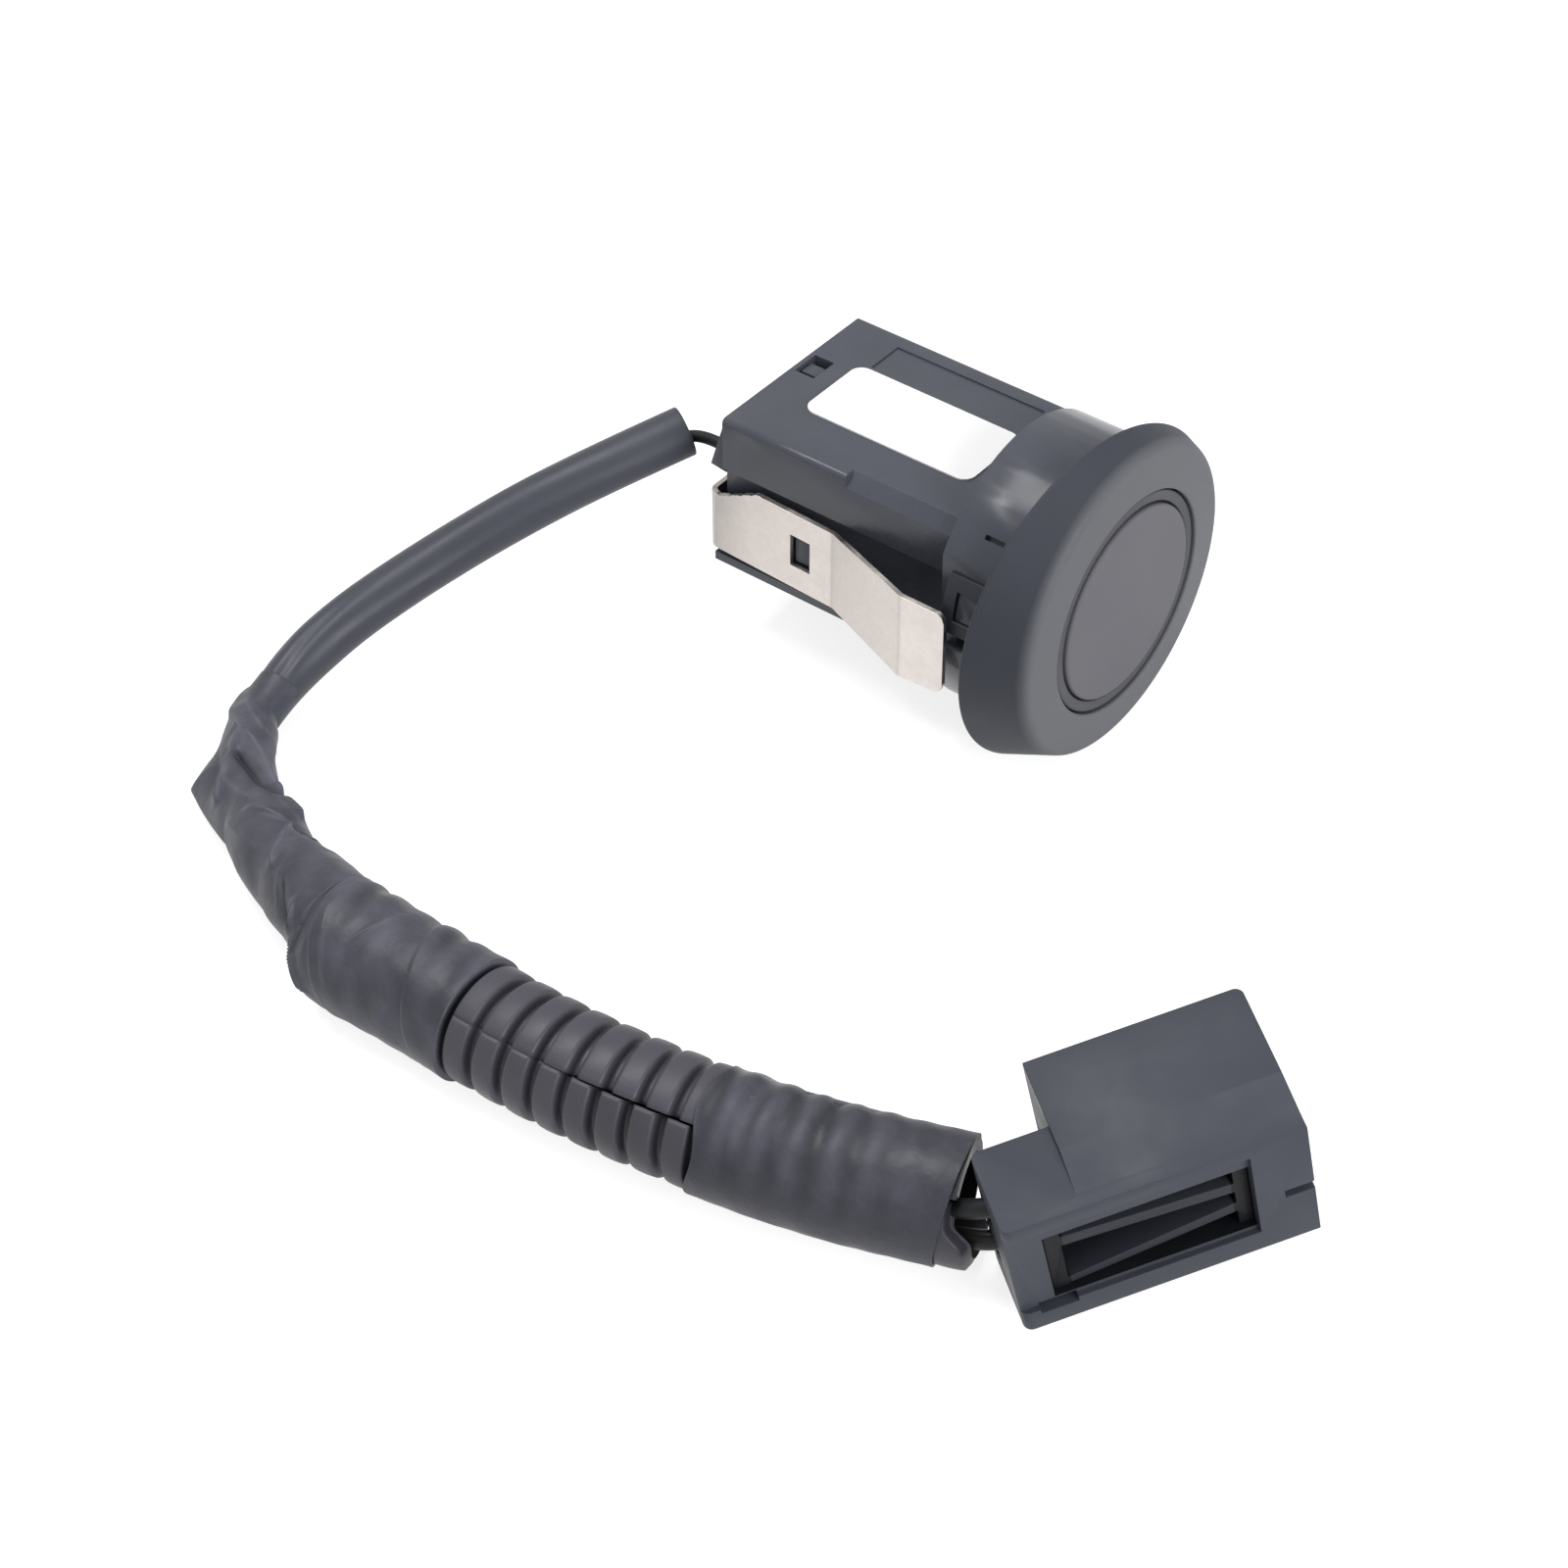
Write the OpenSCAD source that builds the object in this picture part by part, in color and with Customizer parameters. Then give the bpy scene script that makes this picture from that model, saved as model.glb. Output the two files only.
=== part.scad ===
// Ultrasonic parking sensor with its spring clip, taped harness and plug. Millimetres.
// +X points out of the bumper along the sensing axis and +Z is up. The origin is on the
// sensing axis, level with the rearmost edge of the bezel's slanted rim.

/* [Bezel] */
// Reach of the bezel's front edge past the barrel
bezel_reach = 1.15; // [0.9:0.05:2.5]
// Distance from the origin to the bezel's front edge
bezel_depth = 4.5; // [3.8:0.1:6]
// Rounding of the bezel's outer front edge
bezel_edge_r = 0.8; // [0.4:0.1:1.2]
// Rise of the bezel's face from its edge to the isolator
face_rise = 0.3; // [0.1:0.05:0.6]
// Flare of the bezel's rim towards its back, in degrees
rim_flare = 22; // [15:1:24]
// Distance from the origin to the rim's slanted back, on the axis
rim_back = 1.4; // [1.2:0.1:1.8]
// Slant of the rim's back sideways, in degrees
rim_yaw = 6; // [0:0.5:7]
// Slant of the rim's back upwards, in degrees
rim_pitch = 2.3; // [0:0.1:4]
// Height of the flat along the rim's bottom below the axis
rim_flat = 12; // [11.8:0.1:12]
// Gap between the barrel and the rim's seat
seat_gap = 0.45; // [0.4:0.05:0.6]
// Distance from the origin to the floor of the groove inside the seat
seat_groove = 3; // [2.8:0.1:3.2]

/* [Bezel snaps] */
// Height of each snap tab
tab_h = 4.4; // [3.4:0.1:4.8]
// Length of each snap tab behind the seat
tab_len = 3.7; // [3.2:0.1:3.9]
// Thickness of each snap tab
tab_t = 1; // [0.8:0.05:1.1]
// Height of the tabs' middle above the axis
tab_z = 2.4; // [1:0.1:2.6]
// Room above and below each tab in its pocket
tab_room = 1; // [0.5:0.1:1.2]
// Length of the window in each tab
tab_window_len = 1.7; // [1.2:0.1:2]
// Height of the window in each tab
tab_window_h = 2.2; // [1.6:0.1:2.6]
// Depth of the tabs below the barrel's skin
tab_sink = 0.45; // [0.3:0.05:0.5]

/* [Transducer] */
// Diameter of the transducer's face
disc_d = 14.8; // [13.5:0.1:15.2]
// Depth of the transducer's cup
cup_depth = 7.2; // [6.5:0.1:7.4]
// Thickness of the cup's side wall
cup_wall = 0.9; // [0.6:0.1:1.2]
// Thickness of the cup's face
cup_face = 0.8; // [0.5:0.1:1.2]
// Diameter of the piezo disc
piezo_d = 8; // [6:0.5:9.5]
// Thickness of the piezo disc
piezo_t = 0.5; // [0.3:0.1:0.8]
// Thickness of the damping pad behind the piezo disc
pad_t = 3; // [2:0.1:3.6]
// Wall of the rubber isolator round the cup
iso_wall = 1.1; // [0.9:0.05:1.3]
// Depth of the isolator's front edge below the cup's face
iso_set = 0.2; // [0.1:0.05:0.4]
// Thickness of the isolator's rear lip
iso_lip = 0.8; // [0.5:0.1:0.9]
// Reach of the rear lip behind the cup's wall
iso_lip_in = 1.4; // [1:0.1:2]

/* [Body] */
// Diameter of the barrel that passes through the bumper's hole
barrel_d = 21.7; // [21.4:0.1:22]
// Length of the barrel behind the seat
barrel_len = 4.5; // [4.4:0.1:6]
// Depth that the barrel enters the bezel
spigot = 0.6; // [0.4:0.1:0.9]
// Diameter of the hole through the barrel's rear wall
lead_hole_d = 9; // [6:0.5:10]
// Width of the body behind the barrel
body_w = 16.2; // [15.4:0.1:16.6]
// Height of the body behind the barrel
body_h = 14.4; // [14:0.1:14.8]
// Distance from the seat to the body's rear end
body_back = 24.7; // [24:0.1:30]
// Wall thickness of the body
wall = 1.3; // [1.1:0.05:1.5]
// Rounding of the body's long edges
body_r = 0.4; // [0.3:0.1:1]
// Depth of the clip's channel in each side wall
channel_depth = 0.5; // [0.3:0.05:0.7]
// Room above and below the clip in its channel
channel_gap = 0.6; // [0.3:0.1:0.8]
// Chamfer along the body's lower long edges
lower_chamfer = 1.6; // [0.5:0.1:1.8]
// Depth of the relief along the front of the body's near top edge
relief = 1; // [0.5:0.1:1.2]
// Distance from the seat to the rear end of that relief
relief_back = 13.8; // [9:0.1:18]
// Length of the plain marking panel on the top
panel_len = 13; // [8:0.5:14]
// Width of the plain marking panel on the top
panel_w = 3.2; // [2:0.1:3.4]
// Depth of the plain marking panel
panel_depth = 0.15; // [0.1:0.05:0.3]
// Reach of the body's lower walls behind its rear end
foot_out = 0.8; // [0.5:0.1:1]
// Rounding of the body's rear lower edge
rear_round = 1; // [0.5:0.1:1.1]
// Length of the small slit in the barrel above each snap pocket
slit_len = 1.6; // [1:0.1:2.4]
// Width of that slit
slit_w = 0.35; // [0.2:0.05:0.5]
// Angle of that slit from the top
slit_angle = 47; // [42:1:50]
// Clearance between pieces that slip together
fit_gap = 0.1; // [0.05:0.05:0.15]

/* [Rear cover] */
// Depth of the cover's plug inside the body
plug_in = 2.6; // [2.4:0.1:3]
// Reach of the cover's upper lip behind the body
lip_out = 1.4; // [1:0.1:2]
// Height of the lip's lower edge above the axis
lip_low = 2.3; // [2.3:0.1:2.6]
// Length of the snap window in the body's top
latch_len = 1.7; // [1.2:0.1:1.8]
// Width of the snap window in the body's top
latch_w = 2.4; // [1.8:0.1:3]
// Sideways place of the snap window
latch_y = 1; // [-1:0.1:2]
// Distance from the body's side to the cable's exit
cable_side = 3.9; // [3.4:0.1:5]
// Height of the cable's exit above the axis
cable_z = 1.35; // [1.3:0.05:1.4]
// Outer diameter of the cable's grommet
grommet_d = 1.5; // [1.3:0.1:1.6]
// Thickness of the grommet's flange
grommet_flange = 0.5; // [0.3:0.1:0.8]

/* [Circuit] */
// Thickness of the circuit board
board_t = 1; // [0.8:0.1:1.6]
// Height of the board's top face above the axis
board_z = -1; // [-2:0.1:-0.5]
// Width of the ledges that carry the board
ledge_w = 1; // [0.6:0.1:1.5]
// Length and width of the transformer
transformer_w = 5; // [4:0.1:5.5]
// Height of the transformer
transformer_h = 4.4; // [3:0.1:4.8]
// Length and width of the control chip
chip_w = 4.4; // [3:0.1:5]
// Height of the control chip
chip_h = 1; // [0.6:0.1:1.6]
// Distance from the barrel to the transformer's middle
transformer_x = 5.5; // [4:0.1:7]
// Distance from the barrel to the chip's middle
chip_x = 13.2; // [12:0.1:14]
// Length of each capacitor
capacitor_len = 2; // [1.6:0.1:2.4]
// Width and height of each capacitor
capacitor_w = 1.2; // [0.8:0.1:1.6]
// Distance from the barrel to the capacitors
capacitor_x = 8.6; // [8.4:0.1:9]
// Distance from the middle to the capacitors
capacitor_y = 3.4; // [3:0.1:4]
// Diameter of the transducer's leads
lead_d = 0.6; // [0.4:0.1:0.8]

/* [Spring clip] */
// Thickness of the clip's strip
clip_t = 0.4; // [0.3:0.05:0.5]
// Width of the clip's strip
clip_w = 6.6; // [5:0.1:7.2]
// Height of the strip's middle above the axis
clip_z = -1; // [-1.6:0.1:-0.8]
// Clearance between the channel and the clip at its rear corners
clip_rear_gap = 0.3; // [0.1:0.05:0.6]
// Gap between the clip's back and the body's rear end
clip_back_gap = 0.9; // [0.7:0.05:0.95]
// Clearance between the channel and the clip at its first fold
clip_mid_gap = 0.8; // [0.5:0.05:1.2]
// Clearance between the barrel and the clip's front panels
clip_front_gap = 0.25; // [0.1:0.05:1]
// Drop of the strip's upper edge at its rear corners
clip_drop = 1.7; // [0.5:0.1:2]
// Length of the slope that makes that drop
clip_slope = 3.4; // [2:0.1:5]
// Drop of the strip's lower edge at the second fold
clip_belly = 0.5; // [0.2:0.1:0.8]
// Distance from the seat to the first fold
fold_a = 14.3; // [12:0.1:16]
// Distance from the seat to the second fold
fold_b = 6.5; // [6:0.1:8]
// Thickness of bumper that the clip grips
bumper_t = 2.7; // [2.2:0.1:3.6]
// Cut of the strip's front corners
clip_corner = 0.7; // [0.3:0.1:1]
// Distance from the seat to the middle of the clip's windows
clip_window_x = 17.3; // [16.5:0.1:20]
// Length of the clip's windows
clip_window_len = 1.8; // [1.4:0.1:2.4]
// Height of the clip's windows
clip_window_h = 2.7; // [2:0.1:3.6]

/* [Label] */
// Length of the label
label_len = 14.4; // [10:0.1:15]
// Width of the label
label_w = 6.7; // [4:0.1:7]
// Sideways place of the label
label_y = -0.3; // [-1:0.1:0.5]
// Thickness of the label
label_t = 0.12; // [0.08:0.01:0.2]
// Rounding of the label's corners
label_r = 1; // [0.5:0.1:1.5]
// Distance from the seat to the label's front end
label_front = 6.6; // [6:0.1:8]

/* [Harness] */
// Diameter of the lead wire
wire_d = 0.9; // [0.7:0.1:1.1]
// Diameter of the smooth sleeve
sleeve_d = 3.8; // [3:0.1:4.2]
// Diameter of the conduit over its ribs
conduit_d = 8.2; // [7:0.1:8.4]
// Bore of the conduit
conduit_bore = 6.4; // [5.6:0.1:6.6]
// Depth of the grooves between the conduit's ribs
rib_depth = 0.5; // [0.3:0.05:0.7]
// Number of bare ribs
ribs = 8; // [6:1:9]
// Thickness of the tape round the conduit's rear end
rear_tape_t = 0.3; // [0.15:0.05:0.35]
// Thickness of the tape round the conduit's front end
front_tape_t = 0.2; // [0.15:0.05:0.3]
// Diameter of the two plug wires
plug_wire_d = 1.3; // [1:0.1:1.5]

/* [Plug] */
// Length of the plug
plug_len = 19; // [17:0.1:22]
// Depth of the plug from front to back
plug_w = 10.9; // [10.8:0.1:13]
// Height of the plug
plug_h = 11.2; // [10:0.1:12]
// Depth of the part that reaches to the wire end
nose_w = 6.2; // [6.1:0.1:7.5]
// Length of the step at the wire end
step_len = 5; // [4:0.1:6]
// Rise of the cover plate over the front part
plate_rise = 0.4; // [0.2:0.05:0.6]
// Overlap of the cover plate on the front part
plate_lap = 2.1; // [1:0.1:2.4]
// Rounding of the corners at the wire end
nose_r = 0.6; // [0.3:0.1:1]
// Rounding of the back corner at the mating end
plate_r = 0.6; // [0.4:0.1:2]
// Height of the flange along the bottom
flange_h = 1.8; // [1.4:0.1:1.9]
// Height of the lip along the top
lip_h = 1.1; // [0.7:0.1:1.4]
// Reach of lip and flange past the recessed front
lip_reach = 0.45; // [0.2:0.05:0.7]
// Length of the solid cheek at the mating end
cheek_len = 3.7; // [3:0.1:4.4]
// Length of the notch in the cheek's edge
notch_len = 1.9; // [1.2:0.1:2.4]
// Width of that notch
notch_w = 0.7; // [0.5:0.1:1.2]
// Depth of that notch from the front
notch_in = 2; // [1:0.1:2.4]
// Distance from the wire end to the slot in the flange
slot_x = 1.2; // [0.8:0.1:1.6]
// Length of the slot in the flange
slot_len = 2.4; // [1.8:0.1:3]
// Depth of the slot in the flange
slot_h = 0.4; // [0.2:0.1:0.6]
// Distance from the wire end to the side window
side_window_x = 2.3; // [1.5:0.1:3]
// Length of the side window
side_window_len = 13; // [10:0.1:13.4]
// Height of the side window's lower edge
side_window_z = 2; // [1.6:0.1:2.4]
// Height of the side window
side_window_h = 6.3; // [5:0.1:6.5]
// Depth of the side window
side_window_in = 2.8; // [2:0.1:3]
// Width of each terminal cavity
cavity_w = 2; // [1.8:0.1:2.2]
// Height of the lower cavity's middle
cavity_low = 3.4; // [3:0.1:3.8]
// Height between the two cavities
cavity_pitch = 3.6; // [2.8:0.1:4]
// Length of each terminal
terminal_len = 9; // [7:0.5:10]

/* [Hidden] */
$fn = 48;

// Outer diameter of the bezel's front edge and inner radius of its seat
bezel_d = barrel_d + 2 * bezel_reach;
seat_in = barrel_d / 2 + seat_gap;

// Places along the sensing axis
face_x = bezel_depth + face_rise;
cup_back = face_x - cup_depth;
pocket_x = cup_back - iso_lip;
rear_x = -body_back;
cover_x = rear_x + plug_in;
iso_d = disc_d + 2 * iso_wall;
cup_in_d = disc_d - 2 * cup_wall;
piezo_front = face_x - cup_face;
pad_front = piezo_front - piezo_t;

// Sideways place of the cable's exit
cable_y = cable_side - body_w / 2;

// Cross-section of the body
top_z = body_h / 2;
room_w = body_w - 2 * wall;
room_h = body_h - 2 * wall;
channel_y = body_w / 2 - channel_depth;
channel_top = clip_z + clip_w / 2 + channel_gap;
channel_low = clip_z - clip_w / 2 - channel_gap;

// Back of the clip and its half widths, outside
clip_back = rear_x - clip_back_gap - clip_t;
clip_rear_y = channel_y + clip_rear_gap + clip_t;
clip_mid_y = channel_y + clip_mid_gap + clip_t;
clip_front_y = barrel_d / 2 + clip_front_gap + clip_t;

// Snap tabs of the bezel
tab_out = barrel_d / 2 - tab_sink;
tab_in = tab_out - tab_t;
tab_floor = tab_in - fit_gap;
tab_root = spigot + 0.5;

// Circuit board and leads
board_front = -barrel_len - 0.6;
board_back = cover_x + 0.6;
lead_y = 1.5;
lead_z = board_z + lead_d / 2 + 0.02;

// Plug
plug_place = [31.5, -49.4, -12];
plug_turn = [5.4, -12.4, 52.8];
base_h = plug_h - plate_rise;
cavity_y = (side_window_in + nose_w) / 2 + 0.1;
cavity_heights = [cavity_low, cavity_low + cavity_pitch];
terminal_w = cavity_w - 2 * fit_gap;
terminal_x = 8;

// Route of the wire from the board through the grommet
wire_points = [[-20.4, -4.2, -0.4], [-21.2, -4.2, 0.6], [-22, -4.2, 1.35], [-26.8, -4.2, 1.35],
    [-28.4, -4.3, 1.4]];

// Route of the sleeve
sleeve_route = [[-30.6, -5, 1.8], [-33.7, -10.2, 0.2], [-36.9, -15.3, -1.8], [-39.5, -19.6, -3.8],
    [-41.7, -24.2, -5.7], [-43.3, -28.6, -7.4], [-44, -33.2, -9], [-43.3, -38, -10]];
sleeve_girth = [1, 1, 1, 1, 1, 1, 0.97, 0.82];

// Places and radii of the taped junction
junction_points = [[-40.7, -41.9, -9.8], [-38.2, -44, -9.7], [-35.9, -45.7, -9.5], [-33, -47.5, -9.1],
    [-30.1, -49, -8.8], [-27.2, -50.4, -8.3]];
junction_r = [1.7, 1.8, 2.1, 2.3, 2.5, 2.8, 3, 3.1, 3.2, 3.3];

// Loose corner of the junction's last turn of tape
tape_corner = [[-40.6, -41.4], [-41.9, -46.1], [-33.6, -48.6], [-36.4, -45.4]];
tape_corner_z = -10.1;
tape_corner_t = 0.6;

// Route of the conduit
conduit_route = [[-21.9, -52.8, -7.6], [-18, -52.9, -7.6], [-14, -52.9, -7.6], [-9.1, -52.9, -7.6],
    [-2.7, -52.7, -7.6], [3.6, -52, -7.6], [9.4, -51, -7.6], [14.8, -49.8, -7.6], [19.8, -48.2, -7.6],
    [24.7, -46.4, -7.6]];
bare_start = 3;
bare_end = 6;

// Vector helpers
function unit(v) = v / norm(v);
function last(p) = len(p) - 1;
function heading(p, i) = unit(p[min(i + 1, last(p))] - p[max(i - 1, 0)]);
function between(a, b, f) = a * (1 - f) + b * f;
function spot(p, q) = let (i = min(floor(q), last(p) - 1)) between(p[i], p[i + 1], q - i);
function course(p, q) = let (i = min(floor(q), last(p) - 1))
    unit(between(heading(p, i), heading(p, i + 1), q - i));

// The wire meets the sleeve's end squarely, and the junction meets the sleeve and the conduit so
wire_route = concat(wire_points, [sleeve_route[0] - 0.8 * heading(sleeve_route, 0), sleeve_route[0]]);
sleeve_end = sleeve_route[last(sleeve_route)];
junction_end = beside(conduit_route, 0, -0.4, 0.5);
junction_route = concat([sleeve_end, sleeve_end + 0.8 * heading(sleeve_route, last(sleeve_route))],
    junction_points, [junction_end - 0.8 * heading(conduit_route, 0), junction_end]);

// Point beside a route at station q, and a ring of such points round it
function beside(p, q, across, up) = let (t = course(p, q), s = unit(cross(t, [0, 0, 1])))
    spot(p, q) + across * s + up * cross(s, t);
function ring(p, q, r, sides) = [for (k = [0:sides - 1])
    beside(p, q, r * cos(360 * k / sides), r * sin(360 * k / sides))];

// Triangles that join ring a to ring b, outwards or inwards
function skin(a, b, sides) = [for (k = [0:sides - 1]) let (n = (k + 1) % sides)
    each [[a + k, a + n, b + n], [a + k, b + n, b + k]]];
function lining(a, b, sides) = [for (f = skin(a, b, sides)) [f[2], f[1], f[0]]];

// Solid tube along a route: stations are places on the route, radii belong to them
module tube(route, stations, radii, sides) {
    n = len(stations);
    points = [for (i = [0:n - 1]) each ring(route, stations[i], radii[i], sides)];
    walls = [for (i = [0:n - 2]) each skin(i * sides, (i + 1) * sides, sides)];
    start = [for (k = [sides - 1:-1:0]) k];
    end = [for (k = [0:sides - 1]) (n - 1) * sides + k];
    polyhedron(points, concat(walls, [start, end]), convexity = 8);
}

// Tube with a bore: the inner radii belong to the same stations
module pipe(route, stations, outer, inner, sides) {
    n = len(stations);
    far = n * sides;
    points = concat([for (i = [0:n - 1]) each ring(route, stations[i], outer[i], sides)],
        [for (i = [0:n - 1]) each ring(route, stations[i], inner[i], sides)]);
    walls = [for (i = [0:n - 2]) each concat(skin(i * sides, (i + 1) * sides, sides),
        lining(far + i * sides, far + (i + 1) * sides, sides))];
    ends = concat(skin(far, 0, sides), skin((n - 1) * sides, far + (n - 1) * sides, sides));
    polyhedron(points, concat(walls, ends), convexity = 8);
}

// Turns a profile round the sensing axis
module turned() {
    rotate([0, 90, 0]) rotate_extrude($fn = 96) children();
}

// Cylinder along the sensing axis between two places
module rod(d, from, to) {
    translate([from, 0, 0]) rotate([0, 90, 0]) cylinder(d = d, h = to - from);
}

// Extrudes a profile drawn in Y and Z along X
module along(from, to) {
    translate([from, 0, 0]) rotate([90, 0, 90]) linear_extrude(to - from) children();
}

// Box given by its lowest and highest corners
module block(low, high) {
    translate(low) cube(high - low);
}

// Rectangle with round corners
module round_rect(w, h, r) {
    square([w - 2 * r, h], center = true);
    square([w, h - 2 * r], center = true);
    for (x = [-1, 1], y = [-1, 1]) translate([x * (w / 2 - r), y * (h / 2 - r)]) circle(r);
}

// Copies a piece to both sides of the body
module both_sides() {
    children();
    mirror([0, 1, 0]) children();
}

module tab_solid() {
    difference() {
        intersection() {
            block([-tab_len, tab_in, tab_z - tab_h / 2], [tab_root, tab_out + tab_sink, tab_z + tab_h / 2]);
            rod(2 * tab_out + tab_sink, -tab_len, tab_root);
        }
        block([-tab_len / 2 - tab_window_len / 2, tab_in - 1, tab_z - tab_window_h / 2],
            [-tab_len / 2 + tab_window_len / 2, tab_out + 2, tab_z + tab_window_h / 2]);
    }
}

// Room behind the rim's slanted back and in the groove inside its seat, outside the bezel's core
module rim_room() difference() {
    union() {
        translate([rim_back, 0, 0]) rotate([0, rim_pitch, -rim_yaw]) translate([-bezel_d, -bezel_d, -bezel_d])
            cube([bezel_d, 2 * bezel_d, 2 * bezel_d]);
        rod(2 * seat_in, -2, seat_groove);
    }
    rod(barrel_d + 2 * fit_gap, -2 * bezel_d, bezel_d);
}

// Ring with a flared rim: its back is slanted and its bottom is flat
module bezel_ring() color("#3c3d40") {
    out = bezel_d / 2 - bezel_edge_r;
    deep = bezel_depth - bezel_edge_r;
    difference() {
        turned() polygon([[iso_d / 2, spigot], [seat_in - 0.2, spigot], [seat_in - 0.2, -1],
            [out + bezel_edge_r * cos(rim_flare) + (deep + bezel_edge_r * sin(rim_flare) + 1) * tan(rim_flare), -1],
            for (i = [0:5]) let (a = rim_flare + (90 - rim_flare) * i / 5)
                [out + bezel_edge_r * cos(a), deep + bezel_edge_r * sin(a)],
            [iso_d / 2, face_x]]);
        rim_room();
        block([-2, -bezel_d, -bezel_d], [bezel_depth, bezel_d, -rim_flat]);
    }
    both_sides() tab_solid();
}

module isolator_ring() color("#2b2c2e") turned()
    polygon([[iso_d / 2 - iso_wall - iso_lip_in, pocket_x], [iso_d / 2, pocket_x],
        [iso_d / 2, face_x - iso_set - 0.2], [iso_d / 2 - 0.2, face_x - iso_set],
        [disc_d / 2, face_x - iso_set], [disc_d / 2, cup_back],
        [iso_d / 2 - iso_wall - iso_lip_in, cup_back]]);

module transducer_cup() color("#5d5e63") turned()
    polygon([[0, piezo_front], [cup_in_d / 2, piezo_front], [cup_in_d / 2, cup_back],
        [disc_d / 2, cup_back], [disc_d / 2, face_x - 0.15], [disc_d / 2 - 0.15, face_x], [0, face_x]]);

module piezo_disc() color("#c9b27a") rod(piezo_d, pad_front, piezo_front);

module damping_pad() color("#8a8a86") difference() {
    rod(cup_in_d - 2 * fit_gap, pad_front - pad_t, pad_front);
    for (y = [-lead_y, lead_y]) translate([0, y, lead_z])
        rod(lead_d + 2 * fit_gap, pad_front - pad_t - 1, pad_front + 1);
}

module transducer_leads() color("#b04a3a")
    for (y = [-lead_y, lead_y]) translate([0, y, lead_z]) rod(lead_d, board_front - 1.5, pad_front);

// Pocket in the barrel for one snap tab, open towards the rear
module tab_pocket() block([-barrel_len - 1, tab_floor, tab_z - tab_h / 2 - tab_room],
    [spigot + 1, barrel_d, tab_z + tab_h / 2 + tab_room]);

// Lug in the barrel that holds one snap tab by its window
module tab_lug() intersection() {
    block([-tab_len / 2 - tab_window_len / 2 + fit_gap, tab_floor - 0.2, tab_z - tab_window_h / 2 + fit_gap],
        [-tab_len / 2 + tab_window_len / 2 - fit_gap, tab_out, tab_z + tab_window_h / 2 - fit_gap]);
    rod(2 * tab_out, -barrel_len, spigot);
}

// Lug on the body's side that holds the clip by its window
module clip_lug() block([-clip_window_x - clip_window_len / 2 + 0.2, channel_y - 0.2,
        clip_z - clip_window_h / 2 + 0.2],
    [-clip_window_x + clip_window_len / 2 - 0.2, clip_rear_y - 0.1, clip_z + clip_window_h / 2 - 0.2]);

// Small slit in the barrel above one snap pocket
module barrel_slit() rotate([-slit_angle, 0, 0])
    translate([-slit_len - 0.4, -slit_w / 2, barrel_d / 2 - 0.5]) cube([slit_len, slit_w, 1]);

// Cut that rounds the body's rear lower edge
module rear_rounding() translate([rear_x - foot_out, 0, -top_z]) rotate([90, 0, 0])
    linear_extrude(2 * body_w, center = true) difference() {
        translate([-1, -1]) square(rear_round + 1);
        translate([rear_round, rear_round]) circle(rear_round);
    }

// Relief along the front of one top edge
module edge_relief() along(-relief_back, -barrel_len)
    polygon([[body_w / 2 - relief, top_z + 1], [body_w / 2 + 1, top_z + 1], [body_w / 2 + 1, top_z - relief],
        [body_w / 2, top_z - relief], [body_w / 2 - relief, top_z]]);

// Cut along one lower long edge
module lower_cut() along(rear_x - 2, -barrel_len)
    polygon([[body_w / 2 - lower_chamfer, -top_z - 1], [body_w / 2 + 1, -top_z - 1],
        [body_w / 2 + 1, lower_chamfer - top_z], [body_w / 2, lower_chamfer - top_z],
        [body_w / 2 - lower_chamfer, -top_z]]);

module sensor_housing() color("#37393d") {
    difference() {
        union() {
            difference() {
                rod(barrel_d, -barrel_len, spigot);
                both_sides() tab_pocket();
            }
            along(rear_x, -barrel_len + 0.3) round_rect(body_w, body_h, body_r);
            intersection() {
                along(rear_x - foot_out, rear_x + 1) round_rect(body_w, body_h, body_r);
                block([rear_x - 2, -body_w, -body_h], [rear_x + 2, body_w, channel_low]);
            }
        }
        rod(iso_d, pocket_x, spigot + 1);
        rod(lead_hole_d, -barrel_len - 1, spigot);
        along(rear_x - 2, -barrel_len) square([room_w, room_h], center = true);
        both_sides() block([rear_x - 1, channel_y, channel_low], [-barrel_len, body_w, channel_top]);
        mirror([0, 1, 0]) edge_relief();
        both_sides() lower_cut();
        both_sides() barrel_slit();
        rear_rounding();
        translate([rear_x + 0.4, latch_y - latch_w / 2, 0]) cube([latch_len, latch_w, body_h]);
        translate([-label_front - panel_len - 0.6, label_y + label_w / 2 + 0.4, top_z - panel_depth])
            cube([panel_len, panel_w, 1]);
    }
    both_sides() tab_lug();
    both_sides() clip_lug();
    both_sides() block([board_back, room_w / 2 - ledge_w, board_z - board_t - 1],
        [-barrel_len, room_w / 2 + 0.2, board_z - board_t]);
}

module rear_cover() color("#35373b") difference() {
    union() {
        along(rear_x, cover_x) square([room_w - 2 * fit_gap, room_h - 2 * fit_gap], center = true);
        translate([rear_x + 0.4 + fit_gap, latch_y - latch_w / 4, 0])
            cube([latch_len - 2 * fit_gap, latch_w / 2, top_z - 0.35]);
        rotate([90, 0, 0]) linear_extrude(body_w - 2 * body_r, center = true)
            polygon([[rear_x, lip_low], [rear_x - lip_out, lip_low + 0.2], [rear_x, top_z - 0.1]]);
    }
    translate([0, cable_y, cable_z]) rod(grommet_d, rear_x - lip_out - 1, cover_x + 1);
}

module circuit_board() color("#2f5f45")
    block([board_back, -room_w / 2 + fit_gap, board_z - board_t],
        [board_front, room_w / 2 - fit_gap, board_z]);

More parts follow.
